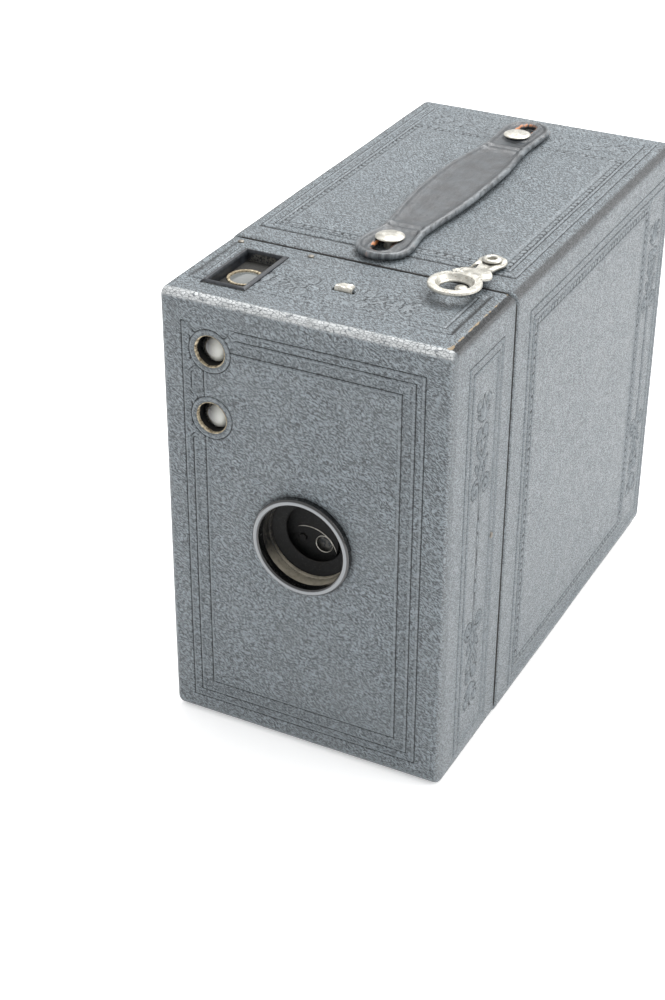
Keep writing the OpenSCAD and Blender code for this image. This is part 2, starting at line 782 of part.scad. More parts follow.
// The tube on the key side and the pin on the other side, which hold the take-up spool.
module takeup_bushes() color("#b9a676") {
    difference() {
        rod_x(-plate_out_x, bush_len - plate_out_x, spool_d, spool_z, bush_r);
        rod_x(-plate_out_x - 1, bush_len + 1 - plate_out_x, spool_d, spool_z, key_r + 0.1);
    }
    rod_x(plate_out_x - bush_len, plate_out_x, spool_d, spool_z, bush_r);
}

module takeup_spool() color("#5a3c22") {
    end_x = plate_in_x - 0.4;
    difference() {
        union() {
            rod_x(-end_x, end_x, spool_d, spool_z, core_r);
            for (x = [-end_x, end_x - 1]) rod_x(x, x + 1, spool_d, spool_z, flange_r);
        }
        for (x = [-end_x - 1, end_x - bush_len]) rod_x(x, x + bush_len + 1, spool_d, spool_z,
            bush_r + running);
        block(-end_x - 1, key_tip_x + key_slot_depth, spool_d - blade_t / 2 - 0.2,
            spool_d + blade_t / 2 + 0.2, spool_z - blade_w / 2 - 0.2, spool_z + blade_w / 2 + 0.2);
    }
}

rear_shell();
rear_wrap();
rear_base_sheet();
back_sheet();
ruby_window();
ruby_window_ring();
handle_studs();
handle_end_front();
handle_front();
handle_rear();
handle_end_rear();
latch_rivet();
latch();
key_bush();
key_collar();
winding_key();
front_shell();
front_wrap();
front_face_sheet();
front_base_sheet();
front_nails();
latch_stud();
lens_ring();
lens_mask();
shutter_disc();
shutter_pins();
shutter_plate();
shutter_lever();
shutter_spring();
time_slide();
plate_pillars();
lens_cell();
lens_glass();
lens_retainer();
stop_slide();
stop_guides();
mechanism_board();
finder_lenses();
top_finder_box();
top_finder_mirror();
top_finder_frame();
side_finder_box();
side_finder_mirror();
side_finder_frame();
light_lip();
carrier_plates();
film_cone();
film_gate();
roller_top();
roller_bottom();
supply_spool_clips();
takeup_bushes();
takeup_spool();
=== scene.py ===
"""Looks of the box camera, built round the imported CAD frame.

Lengths are millimetres unless a name ends in _m. A point is (x, depth, z): depth is measured
back from the lens side, as in the CAD source, and in_row() turns it into the row frame.
"""
import math

import bmesh
import bpy
import numpy as np
from mathutils import Matrix, Vector
from mathutils.geometry import delaunay_2d_cdt


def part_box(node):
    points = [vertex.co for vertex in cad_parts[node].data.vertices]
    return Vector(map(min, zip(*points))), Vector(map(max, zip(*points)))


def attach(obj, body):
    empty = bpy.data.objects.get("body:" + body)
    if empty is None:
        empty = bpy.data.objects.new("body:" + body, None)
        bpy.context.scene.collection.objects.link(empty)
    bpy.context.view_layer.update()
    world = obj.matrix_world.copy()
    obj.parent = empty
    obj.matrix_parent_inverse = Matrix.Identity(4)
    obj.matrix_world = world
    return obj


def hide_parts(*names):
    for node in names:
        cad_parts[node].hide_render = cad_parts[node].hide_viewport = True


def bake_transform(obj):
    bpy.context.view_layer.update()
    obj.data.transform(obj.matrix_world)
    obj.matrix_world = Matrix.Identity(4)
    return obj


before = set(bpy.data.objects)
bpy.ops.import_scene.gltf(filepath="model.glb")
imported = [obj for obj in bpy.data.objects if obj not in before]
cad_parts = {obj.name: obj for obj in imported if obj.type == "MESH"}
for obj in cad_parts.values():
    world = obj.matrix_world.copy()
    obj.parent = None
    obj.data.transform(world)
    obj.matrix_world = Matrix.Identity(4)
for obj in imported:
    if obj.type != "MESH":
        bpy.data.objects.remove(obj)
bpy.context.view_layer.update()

MM = 0.001
LENS_SIDE_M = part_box("front_face_sheet")[0].y


def in_row(points):
    """Points (x, depth, z) in millimetres, as metres in the row frame."""
    return np.asarray(points, float) * MM + [0.0, LENS_SIDE_M, 0.0]


def span(node):
    """Lowest and highest (x, depth, z) of a CAD node, in millimetres."""
    low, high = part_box(node)
    shift = np.array([0.0, LENS_SIDE_M, 0.0])
    return (np.array(low) - shift) / MM, (np.array(high) - shift) / MM


def centre_of(node):
    """Middle (x, depth, z) of a CAD node, in millimetres."""
    low, high = span(node)
    return (low + high) / 2


FRONT_LOW, FRONT_HIGH = span("front_wrap")
REAR_LOW, REAR_HIGH = span("rear_wrap")
BACK_D = span("back_sheet")[1][1]
LENS_Z = centre_of("lens_ring")[2]
TOP_FINDER = centre_of("top_finder_frame")
SIDE_FINDER = centre_of("side_finder_frame")
FINDER_X = centre_of("finder_lenses")[0]
FINDER_LENS_R = 5.5
FINDER_ZS = (SIDE_FINDER[2], span("finder_lenses")[1][2] - FINDER_LENS_R)
FINDER_HOLE_R = 4.45
WINDOW_SIZE = (10.0, 20.4)
FINDER_PLATE_DEEP = 2.5
FINDER_EYE_R = 4.75
STUD_HEAD_R = 4.0
STUD_LOW, STUD_HIGH = span("handle_studs")
STUD_DS = (STUD_LOW[1] + STUD_HEAD_R, STUD_HIGH[1] - STUD_HEAD_R)
NECK_FOOT_Z = 128.6
TAB_LEFT, TAB_RIGHT = -0.95, 3.95
PIN_HOLE_R = 1.06
STRAP_LOW, STRAP_TOP = span("handle_front")[0][2], span("handle_front")[1][2]
KEY_D, KEY_Z = centre_of("key_bush")[1:]
KEY_GAP = 4.6
CLOTH_T = 0.55


# ---- number helpers ----

def fade(value, start, end):
    """0 before start, 1 after end, smooth between. start may be the larger one."""
    t = np.clip((value - start) / (end - start), 0, 1)
    return t * t * (3 - 2 * t)


def spread(low, high, coarse, zones):
    """Positions from low to high, coarse apart, and closer together inside the zones."""
    stops = {low, high}
    stops.update(v for zone in zones for v in zone[:2] if low < v < high)
    stops = sorted(stops)
    lines = [low]
    for a, b in zip(stops, stops[1:]):
        middle = (a + b) / 2
        step = min([coarse] + [zone[2] for zone in zones if zone[0] <= middle <= zone[1]])
        count = max(1, math.ceil((b - a) / step - 1e-6))
        lines += [a + (b - a) * i / count for i in range(1, count + 1)]
    return lines


RIDGE_STEPS = (-0.9, -0.72, -0.56, -0.4, -0.2, 0.0, 0.2, 0.4, 0.56, 0.72, 0.9)
FAN_STEPS = 5


def grid_lines(low, high, coarse, zones=(), ridges=(), cuts=(), low_fan=0, high_fan=0):
    """Grid positions along one side of a box. Ridges get lines across their profile, cuts get a
    line each, and a rounded edge gets a fan of lines that bends evenly."""
    angles = [math.tan(math.pi / 4 * i / FAN_STEPS) for i in range(FAN_STEPS + 1)]
    fixed = [low + low_fan * (1 - t) for t in angles] if low_fan else [low]
    fixed += [high - high_fan * (1 - t) for t in angles] if high_fan else [high]
    fixed += list(cuts)
    for centre in ridges:
        fixed += [centre + step for step in RIDGE_STEPS]
    kept = []
    for value in sorted(set(round(v, 4) for v in fixed)):
        if not kept or value - kept[-1] > 0.06:
            kept.append(value)
    taken = np.array(kept)
    inner = spread(low + low_fan, high - high_fan, coarse, zones)
    loose = [v for v in inner if np.abs(taken - v).min() > 0.16]
    return np.array(sorted(kept + loose))


# ---- relief of the embossed cloth: every function takes arrays and returns heights ----

def border_offset(u, v, border, inset=0.0):
    """Distance outside (above 0) or inside a rectangle (u0, u1, v0, v1) drawn in by inset."""
    u0, u1, v0, v1 = border
    across = np.abs(u - (u0 + u1) / 2) - (u1 - u0) / 2
    along = np.abs(v - (v0 + v1) / 2) - (v1 - v0) / 2
    return np.maximum(across, along) + inset


class Relief:
    """Heights pressed into the cloth, with the share of each point that has lost its grain."""

    def __init__(self, u, v):
        self.u, self.v = u, v
        self.height = np.zeros_like(u)
        self.plain = np.zeros_like(u)
        self.bare = np.zeros_like(u)

    def add(self, height, plain, where=1.0):
        """Adds heights, and marks the points that they leave without grain."""
        self.height += height * where
        self.plain = np.maximum(self.plain, plain * where)

    def ridge(self, offset, half=0.2, high=0.2, deep=0.24, where=1.0):
        """A thin raised line with a deep groove on one side and a faint one on the other."""
        away = np.abs(offset)
        crown = high * fade(away, half + 0.14, half - 0.1)
        groove = deep * np.exp(-(((offset - half - 0.3) / 0.16) ** 2))
        groove = groove + 0.3 * deep * np.exp(-(((offset + half + 0.3) / 0.16) ** 2))
        self.add(crown - groove, fade(away, half + 0.25, half), where)

    def bump(self, distance, radius, high, deep, where=1.0):
        """A raised shape with a groove round it; distance is from the middle of the shape."""
        dome = high * np.sqrt(np.clip(1 - (distance / radius) ** 2, 0, 1))
        groove = deep * np.exp(-(((distance - radius - 0.2) / 0.2) ** 2))
        self.add(dome - groove, fade(distance, radius + 0.15, radius - 0.1), where)

    def border(self, rect, insets, **how):
        """A ridge round a rectangle at each of the insets."""
        for inset in insets:
            self.ridge(border_offset(self.u, self.v, rect, inset), **how)

    def row_along(self, rect, inset, pitch):
        """Across and along distances to the nearest of the marks repeated round a border."""
        u0, u1, v0, v1 = rect
        size_u, size_v = (u1 - u0) / 2 - inset, (v1 - v0) / 2 - inset
        from_u, from_v = self.u - (u0 + u1) / 2, self.v - (v0 + v1) / 2
        pitch_u = 2 * size_u / round(2 * size_u / pitch)
        pitch_v = 2 * size_v / round(2 * size_v / pitch)
        step_u = from_u - size_u - pitch_u * np.round((from_u - size_u) / pitch_u)
        step_v = from_v - size_v - pitch_v * np.round((from_v - size_v) / pitch_v)
        upright = np.abs(from_u) - size_u > np.abs(from_v) - size_v
        across = np.where(upright, np.abs(from_u) - size_u, np.abs(from_v) - size_v)
        return across, np.where(upright, step_v, step_u)

    def beads(self, rect, inset, pitch, where=1.0):
        """A row of round beads along a border, each with a deep middle."""
        across, along = self.row_along(rect, inset, pitch)
        longer = np.where(along > 0, 0.82, 1.12)
        distance = np.hypot(across, along * longer)
        self.bump(distance, 0.8, high=0.12, deep=0.1, where=where)
        self.add(-0.34 * np.exp(-((distance / 0.55) ** 2)), fade(distance, 0.9, 0.6), where)

    def chain(self, rect, inset, pitch, where=1.0):
        """A chain pressed between two lines: an oval link, a short bar, an oval link."""
        across, along = self.row_along(rect, inset, pitch)
        link = np.hypot(across * 1.15, along * 0.95)
        self.bump(link, 0.8, high=0.16, deep=0.24, where=where)
        hollow = 0.2 * np.exp(-((link / 0.36) ** 2))
        self.add(-hollow, np.zeros_like(across), where)

    def strokes(self, lines, high=0.24, deep=0.26):
        """Raised tapering strokes. Each is (u, v, radius) points."""
        us = [p[0] for line in lines for p in line]
        vs = [p[1] for line in lines for p in line]
        near = (self.u > min(us) - 2) & (self.u < max(us) + 2)
        near &= (self.v > min(vs) - 2) & (self.v < max(vs) + 2)
        u, v = self.u[near], self.v[near]
        if not len(u):
            return
        best = np.full(len(u), 9.0)
        for line in lines:
            for (u0, v0, r0), (u1, v1, r1) in zip(line, line[1:]):
                du, dv = u1 - u0, v1 - v0
                t = np.clip(((u - u0) * du + (v - v0) * dv) / (du * du + dv * dv + 1e-9), 0, 1)
                away = np.hypot(u - u0 - t * du, v - v0 - t * dv) - (r0 + t * (r1 - r0))
                best = np.minimum(best, away)
        crown = high * fade(best, 0.08, -0.3)
        groove = deep * np.exp(-(((best - 0.26) / 0.2) ** 2))
        self.height[near] += crown - groove
        self.plain[near] = np.maximum(self.plain[near], fade(best, 0.25, -0.05))


# ---- the sprig stamped on the side panels: strokes along v, from a curl out to a fan ----

def curl(u, v, size, turn, hand, width=0.34):
    """A spiral scroll that closes on (u, v)."""
    line = []
    for i in range(15):
        share = i / 14
        radius = size * (1 - 0.82 * share)
        angle = turn + hand * share * 1.45 * 2 * math.pi
        line.append((u + radius * math.cos(angle), v + radius * math.sin(angle),
                     width * (0.75 + 0.5 * share)))
    return line


def leaf(u, v, length, angle, width):
    """A pointed leaf that leaves (u, v) at an angle in degrees."""
    du, dv = math.cos(math.radians(angle)), math.sin(math.radians(angle))
    return [(u, v, 0.12), (u + du * length * 0.45, v + dv * length * 0.45, width),
            (u + du * length, v + dv * length, 0.06)]


def sprig(u0, v0, towards, reach=1.0, stem=True):
    """The strokes of one sprig. v0 is the middle of the panel; the sprig runs towards +1 or -1."""
    lines = []
    if stem:
        lines.append([(u0, v0 + 0.5, 0.1), (u0, v0 + 5.5, 0.32), (u0, v0 + 6.2, 0.12)])
        lines.append([(u0, v0 + 7.2, 0.3), (u0 + 0.1, v0 + 8.4, 0.62), (u0, v0 + 9.8, 0.12)])
        lines.append([(u0, v0 + 10.4, 0.14), (u0, v0 + 16.4, 0.24), (u0 - 0.3, v0 + 20, 0.26)])
    root = v0 + 19.2
    lines.append(curl(u0 - 3.1, root - 0.2, 2.5, 0.9, 1))
    lines.append(curl(u0 + 3.2, root - 0.8, 2.4, 2.3, -1))
    lines.append([(u0 - 0.4, root + 0.6, 0.3), (u0 - 1.6, root + 3.4, 0.26),
                  (u0 + 0.5, root + 6.8, 0.32), (u0 + 2.6, root + 9.6, 0.24),
                  (u0 + 3.1, root + 12, 0.14)])
    lines.append([(u0 + 0.6, root + 0.4, 0.3), (u0 + 1.9, root + 3.6, 0.24),
                  (u0 - 0.6, root + 7.2, 0.34), (u0 - 2.9, root + 9.8, 0.24),
                  (u0 - 3.3, root + 11.6, 0.14)])
    lines.append(curl(u0 + 1.6, root + 13.6, 1.7, 3.6, 1, 0.3))
    lines.append(curl(u0 - 1.9, root + 13.8, 1.7, -0.6, -1, 0.3))
    lines.append(leaf(u0 - 2.2, root + 3.9, 2.6, 120, 0.42))
    lines.append(leaf(u0 + 2.3, root + 4.3, 2.4, 60, 0.42))
    lines.append(leaf(u0, root + 9.0, 3.6, 90, 0.62))
    fan = root + 16.6
    for angle, length, width in ((90, 6.2, 0.62), (62, 5.4, 0.5), (118, 5.4, 0.5), (32, 4.0, 0.42),
                                 (148, 4.0, 0.42)):
        lines.append(leaf(u0, fan, length, angle, width))
    lines.append(curl(u0 + 2.9, fan + 4.6, 1.0, -1.2, 1, 0.26))
    lines.append(curl(u0 - 2.9, fan + 4.6, 1.0, -1.9, -1, 0.26))
    placed = []
    for line in lines:
        placed.append([(u, v0 + towards * reach * (v - v0), r) for u, v, r in line])
    return placed


def turned_sprig(u0, v0, towards, reach):
    """A short sprig without its stem, lying along u."""
    root = 18.0
    lines = sprig(0.0, 0.0, 1, stem=False)
    return [[(u0 + towards * reach * (v - root), v0 + u, r) for u, v, r in line] for line in lines]


# ---- cloth laid round a box ----

def rounded_box(points, low, high, margins, open_low, open_high):
    """Points of a sharp box moved onto the box with rounded edges, and the normals there.
    open_low and open_high say which ends, by axis, have no rounding."""
    core_low = low + np.where(open_low, 0, margins)
    core_high = high - np.where(open_high, 0, margins)
    core = np.clip(points, core_low, core_high)
    out = (points - core) / margins
    out /= np.linalg.norm(out, axis=1, keepdims=True)
    normal = out / margins
    normal /= np.linalg.norm(normal, axis=1, keepdims=True)
    return core + out * margins, normal


def swell(points):
    """A slow unevenness of the boards under the cloth, the same wherever blocks meet."""
    x, d, z = points.T
    slow = np.sin(x * 0.11 + 1.3) * np.sin(z * 0.083 + 0.4) + np.sin(d * 0.097 + z * 0.05)
    quick = np.sin(x * 0.43 + z * 0.31) * np.sin(d * 0.37 - z * 0.29 + 2.0)
    return 0.035 * slow + 0.015 * quick - 0.26


class RoundHole:
    """A round hole in a block: its centre, the radii of the rings round it, and its square."""

    def __init__(self, u, v, radii, reach):
        self.u, self.v, self.radii, self.reach = u, v, radii, reach


class Sheet:
    """Cloth made of flat blocks of grid cells that are bent round a box and joined."""

    def __init__(self, bend, cracked_highlight=0.0):
        self.bend = bend
        self.cracked_highlight = cracked_highlight
        self.parts = []
        self.total = 0

    def block(self, us, vs, to_flat, to_grain, relief, tag, holes=(), gaps=()):
        """Adds one side of the box. gaps are rectangles (u0, u1, v0, v1) left open."""
        grid_u, grid_v = np.meshgrid(us, vs, indexing="ij")
        points = [np.column_stack([grid_u.ravel(), grid_v.ravel()])]
        index = np.arange(grid_u.size).reshape(grid_u.shape)
        middle_u = ((us[1:] + us[:-1]) / 2)[:, None]
        middle_v = ((vs[1:] + vs[:-1]) / 2)[None, :]
        keep = np.ones((len(us) - 1, len(vs) - 1), bool)
        for u0, u1, v0, v1 in gaps:
            keep &= ~((middle_u > u0) & (middle_u < u1) & (middle_v > v0) & (middle_v < v1))
        quads = []
        count = grid_u.size
        for hole in holes:
            ring, square = self.square_round(us, vs, index, hole)
            keep[square] = False
            outer = points[0][ring]
            middle = np.array([hole.u, hole.v])
            ray = outer - middle
            ray /= np.linalg.norm(ray, axis=1, keepdims=True)
            previous = ring
            first = middle + ray * hole.radii[0]
            for loop in [outer * 0.5 + first * 0.5] + [middle + ray * r for r in hole.radii]:
                current = count + np.arange(len(ring))
                points.append(loop)
                quads.append(np.column_stack([previous, np.roll(previous, -1),
                                              np.roll(current, -1), current]))
                previous = current
                count += len(ring)
        cells = np.stack([index[:-1, :-1], index[1:, :-1], index[1:, 1:], index[:-1, 1:]], -1)
        quads.append(cells[keep])
        points = np.concatenate(points)
        quads = np.concatenate(quads)
        pressed = Relief(points[:, 0], points[:, 1])
        relief(pressed)
        fields = np.column_stack([pressed.height, pressed.plain, pressed.bare])
        self.parts.append((to_flat(*points.T), to_grain(*points.T), fields, quads + self.total,
                           np.full(len(quads), tag)))
        self.total += len(points)

    @staticmethod
    def square_round(us, vs, index, hole):
        """The grid's own vertices round a square about a hole, and the cells inside it."""
        i0, i1 = np.searchsorted(us, [hole.u - hole.reach, hole.u + hole.reach])
        j0, j1 = np.searchsorted(vs, [hole.v - hole.reach, hole.v + hole.reach])
        ring = np.concatenate([index[i0:i1, j0], index[i1, j0:j1], index[i1:i0:-1, j1],
                               index[i0, j1:j0:-1]])
        return ring, (slice(i0, i1), slice(j0, j1))

    def pieces(self, material, names):
        """Joins the blocks, gives the cloth its thickness at every free edge, and makes one
        object for each tag."""
        flat, grain, fields = (np.concatenate([part[i] for part in self.parts]) for i in range(3))
        quads = np.concatenate([part[3] for part in self.parts])
        tags = np.concatenate([part[4] for part in self.parts])
        key = np.round(flat * 500).astype(np.int64)
        _, first, joined = np.unique(key, axis=0, return_index=True, return_inverse=True)
        joined = joined.ravel()
        points, normals = self.bend(flat[first])
        fields = fields[first]
        points = points + normals * (fields[:, :1] + swell(points)[:, None])
        corner_grain = grain[quads]
        quads = joined[quads]
        flip = facing(points, quads, normals) < 0
        quads[flip] = quads[flip][:, ::-1]
        corner_grain[flip] = corner_grain[flip][:, ::-1]
        bend = edge_wear_and_light(normals, self.cracked_highlight)
        points, fields, bend, quads, corner_grain, tags = edge_thickness(
            points, normals, fields, bend, quads, corner_grain, tags)
        shading = vertex_normals(points, quads)
        made = []
        for tag, name in enumerate(names):
            chosen = quads[tags == tag]
            used, local = np.unique(chosen, return_inverse=True)
            data = {"height": fields[used, 0], "plain": fields[used, 1],
                    "bare": fields[used, 2], "bend": bend[used]}
            made.append(make_object(name, points[used], local.reshape(chosen.shape), material,
                                    corner_grain[tags == tag], data, shading[used]))
        return made


def wall_maps(x, sign):
    """Where a side wall's cloth lies, and its place on the grain."""
    return (lambda u, v: np.column_stack([0 * u + x, u, v]),
            lambda u, v: np.column_stack([x + sign * u, v]))


def level_maps(z, sign):
    """The same for a top or a base."""
    return (lambda u, v: np.column_stack([u, v, 0 * u + z]),
            lambda u, v: np.column_stack([u, z + sign * v]))


def face_maps():
    """The same for a front or a back."""
    return (lambda u, v: np.column_stack([u, 0 * u, v]),
            lambda u, v: np.column_stack([u, v]))


def edge_wear_and_light(normals, cracked_highlight):
    """How a folded edge is painted: 1 is crackle painted white as a highlight, down to -1 painted dark
    as shade.
    A narrow band along the front's upper edge gets the crackle and its painted highlight, and the
    edges that run back are painted dark."""
    across, depth, up = normals.T
    rounded = fade(np.abs(normals).max(axis=1), 0.995, 0.87)
    front = fade(depth, -0.1, -0.3)
    tilt = np.degrees(np.arctan2(up, -depth))
    band = fade(tilt, 10, 22) * fade(tilt, 82, 70) * fade(np.abs(across), 0.75, 0.45)
    band = band * cracked_highlight
    return band + (1 - band) * rounded * (0.12 * cracked_highlight * front - (1 - front))


def facing(points, quads, normals):
    """Above 0 where a quad's own normal agrees with its vertices' normals."""
    corners = points[quads]
    own = np.cross(corners[:, 2] - corners[:, 0], corners[:, 3] - corners[:, 1])
    return (own * normals[quads].sum(axis=1)).sum(axis=1)


def vertex_normals(points, quads):
    """Unit normals of the vertices, from the faces round each."""
    corners = points[quads]
    own = np.cross(corners[:, 2] - corners[:, 0], corners[:, 3] - corners[:, 1])
    total = np.zeros_like(points)
    for i in range(4):
        np.add.at(total, quads[:, i], own)
    return total / np.maximum(np.linalg.norm(total, axis=1, keepdims=True), 1e-12)


def edge_thickness(points, normals, fields, bend, quads, grain, tags):
    """Adds a turned-down rim along every edge that belongs to one face only."""
    starts = quads.ravel()
    ends = np.roll(quads, -1, axis=1).ravel()
    low, high = np.minimum(starts, ends), np.maximum(starts, ends)
    pair = low * (len(points) + 1) + high
    _, where, times = np.unique(pair, return_inverse=True, return_counts=True)
    free = np.flatnonzero(times[where.ravel()] == 1)
    rim = np.unique(np.concatenate([starts[free], ends[free]]))
    new_index = np.full(len(points), -1)
    new_index[rim] = len(points) + np.arange(len(rim))
    below = points[rim] - normals[rim] * CLOTH_T
    walls = np.column_stack([ends[free], starts[free], new_index[starts[free]],
                             new_index[ends[free]]])
    face, corner = free // 4, free % 4
    here, following = grain[face, corner], grain[face, (corner + 1) % 4]
    wall_grain = np.stack([following, here, here, following], axis=1)
    return (np.concatenate([points, below]), np.concatenate([fields, fields[rim]]),
            np.concatenate([bend, bend[rim]]), np.concatenate([quads, walls]),
            np.concatenate([grain, wall_grain]), np.concatenate([tags, tags[face]]))


def make_object(name, points, faces, material, grain=None, data=None, normals=None):
    """A mesh object. grain holds a UV for every corner, and data a number for every vertex."""
    mesh = bpy.data.meshes.new(name)
    mesh.from_pydata(in_row(points).tolist(), [], [list(map(int, face)) for face in faces])
    if grain is not None:
        layer = mesh.uv_layers.new(name="grain")
        layer.data.foreach_set("uv", np.asarray(grain, np.float32).ravel())
    for key, values in (data or {}).items():
        attribute = mesh.attributes.new(key, "FLOAT", "POINT")
        attribute.data.foreach_set("value", np.asarray(values, np.float32))
    mesh.materials.append(material)
    mesh.shade_smooth()
    mesh.validate()
    if normals is not None and len(normals) == len(mesh.vertices):
        mesh.normals_split_custom_set_from_vertices(normals.tolist())
    obj = bpy.data.objects.new(name, mesh)
    bpy.context.scene.collection.objects.link(obj)
    return obj


# ---- round and flat solids ----

def joined(parts):
    """Several (points, faces) as one."""
    points, faces, total = [], [], 0
    for part_points, part_faces in parts:
        points.append(np.asarray(part_points, float))
        faces += [[i + total for i in face] for face in part_faces]
        total += len(part_points)
    return np.concatenate(points), faces


def soft_profile(corners, radius, steps=3, closed=True):
    """A profile with each corner rounded by up to radius."""
    count = len(corners)
    result = []
    for i, corner in enumerate(corners):
        p = np.array(corner, float)
        if not closed and i in (0, count - 1):
            result.append(tuple(p))
            continue
        before = np.array(corners[i - 1], float) - p
        after = np.array(corners[(i + 1) % count], float) - p
        cut_a = min(radius, np.linalg.norm(before) * 0.45)
        cut_b = min(radius, np.linalg.norm(after) * 0.45)
        a = p + before / np.linalg.norm(before) * cut_a
        b = p + after / np.linalg.norm(after) * cut_b
        for k in range(steps + 1):
            t = k / steps
            result.append(tuple(a * (1 - t) ** 2 + 2 * p * t * (1 - t) + b * t ** 2))
    return result


def swept(profile, base, outward, place, closed=True):
    """A profile of (out, up) carried round a closed path. base and outward are (N, 2)."""
    profile = np.array(profile, float)
    ring = len(base)
    path = base[:, None, :] + outward[:, None, :] * profile[None, :, :1]
    up = np.broadcast_to(profile[None, :, 1], path.shape[:2])
    points = place(path[..., 0].ravel(), path[..., 1].ravel(), up.ravel())
    rows = len(profile)
    faces = []
    for i in range(ring):
        following = (i + 1) % ring
        for j in range(rows if closed else rows - 1):
            k = (j + 1) % rows
            faces.append([i * rows + j, following * rows + j, following * rows + k, i * rows + k])
    if not closed:
        faces.append([i * rows for i in range(ring)][::-1])
        faces.append([i * rows + rows - 1 for i in range(ring)])
    return points, faces


def turned(profile, place, segments=96, closed=True):
    """A profile of (radius, up) turned round the origin of place."""
    angles = np.arange(segments) * 2 * math.pi / segments
    outward = np.column_stack([np.cos(angles), np.sin(angles)])
    return swept(profile, np.zeros((segments, 2)), outward, place, closed)


def facing_front(x, z, d=0.0):
    """Placer for parts seen from the lens side: up is towards the viewer."""
    return lambda u, v, w: np.column_stack([x + u, d - w, z + v])


def facing_up(x, d, z=0.0):
    """Placer for parts seen from above: up is towards +Z."""
    return lambda u, v, w: np.column_stack([x + u, d + v, z + w])


def facing_left(d, z, x=0.0):
    """Placer for parts on the left side: up is towards -X."""
    return lambda u, v, w: np.column_stack([x - w, d + u, z + v])


def facing_right(d, z, x=0.0):
    """Placer for parts on the right side: up is towards +X."""
    return lambda u, v, w: np.column_stack([x + w, d + u, z + v])


def facing_back(x, z, d=0.0):
    """Placer for parts on the back: up is away from the lens side."""
    return lambda u, v, w: np.column_stack([x + u, d + w, z + v])


def circle(u, v, radius, count=64, start=0.0, turn=360.0):
    """Points along a circle or an arc, with angles in degrees."""
    angles = np.radians(start + np.arange(count) * turn / count)
    return np.column_stack([u + radius * np.cos(angles), v + radius * np.sin(angles)])


def rounded_rect(width, height, radius, corner_steps=5, edge_step=2.0):
    """The outline of a rectangle about the origin, anticlockwise."""
    loop = []
    for i, (su, sv) in enumerate(((1, -1), (1, 1), (-1, 1), (-1, -1))):
        centre_u, centre_v = su * (width / 2 - radius), sv * (height / 2 - radius)
        for k in range(corner_steps + 1):
            angle = math.radians(-90 + 90 * i + 90 * k / corner_steps)
            loop.append((centre_u + radius * math.cos(angle), centre_v + radius * math.sin(angle)))
    return subdivided(np.array(loop), edge_step)


def subdivided(loop, step):
    """A closed loop with extra points, so that no edge is longer than step."""
    result = []
    for p, q in zip(loop, np.roll(loop, -1, axis=0)):
        count = max(1, math.ceil(np.linalg.norm(q - p) / step))
        result += [p + (q - p) * i / count for i in range(count)]
    return np.array(result)


def smooth_loop(corners, step=0.8):
    """A closed curve through the corners, with a point about every step."""
    corners = np.array(corners, float)
    result = []
    count = len(corners)
    for i in range(count):
        p0, p1, p2, p3 = (corners[(i + k) % count] for k in (-1, 0, 1, 2))
        pieces = max(1, round(np.linalg.norm(p2 - p1) / step))
        for k in range(pieces):
            t = k / pieces
            result.append(0.5 * (2 * p1 + (p2 - p0) * t + (2 * p0 - 5 * p1 + 4 * p2 - p3) * t ** 2
                                 + (3 * p1 - p0 - 3 * p2 + p3) * t ** 3))
    return np.array(result)


def loop_area(loop):
    """Area inside a closed loop, above 0 where it runs anticlockwise."""
    u, v = loop.T
    return 0.5 * np.sum(u * np.roll(v, -1) - v * np.roll(u, -1))


def inside(points, loop):
    """Which points lie inside a closed loop."""
    result = np.zeros(len(points), bool)
    for (u0, v0), (u1, v1) in zip(loop, np.roll(loop, -1, axis=0)):
        crosses = (v0 > points[:, 1]) != (v1 > points[:, 1])
        slope = (u1 - u0) / (v1 - v0) if v1 != v0 else 0.0
        result ^= crosses & (points[:, 0] < u0 + (points[:, 1] - v0) * slope)
    return result


def edge_distance(points, loops):
    """Distance from each point to the nearest loop."""
    best = np.full(len(points), 1e9)
    for loop in loops:
        for p, q in zip(loop, np.roll(loop, -1, axis=0)):
            along = q - p
            t = np.clip(((points - p) @ along) / (along @ along + 1e-12), 0, 1)
            best = np.minimum(best, np.linalg.norm(points - p - t[:, None] * along, axis=1))
    return best


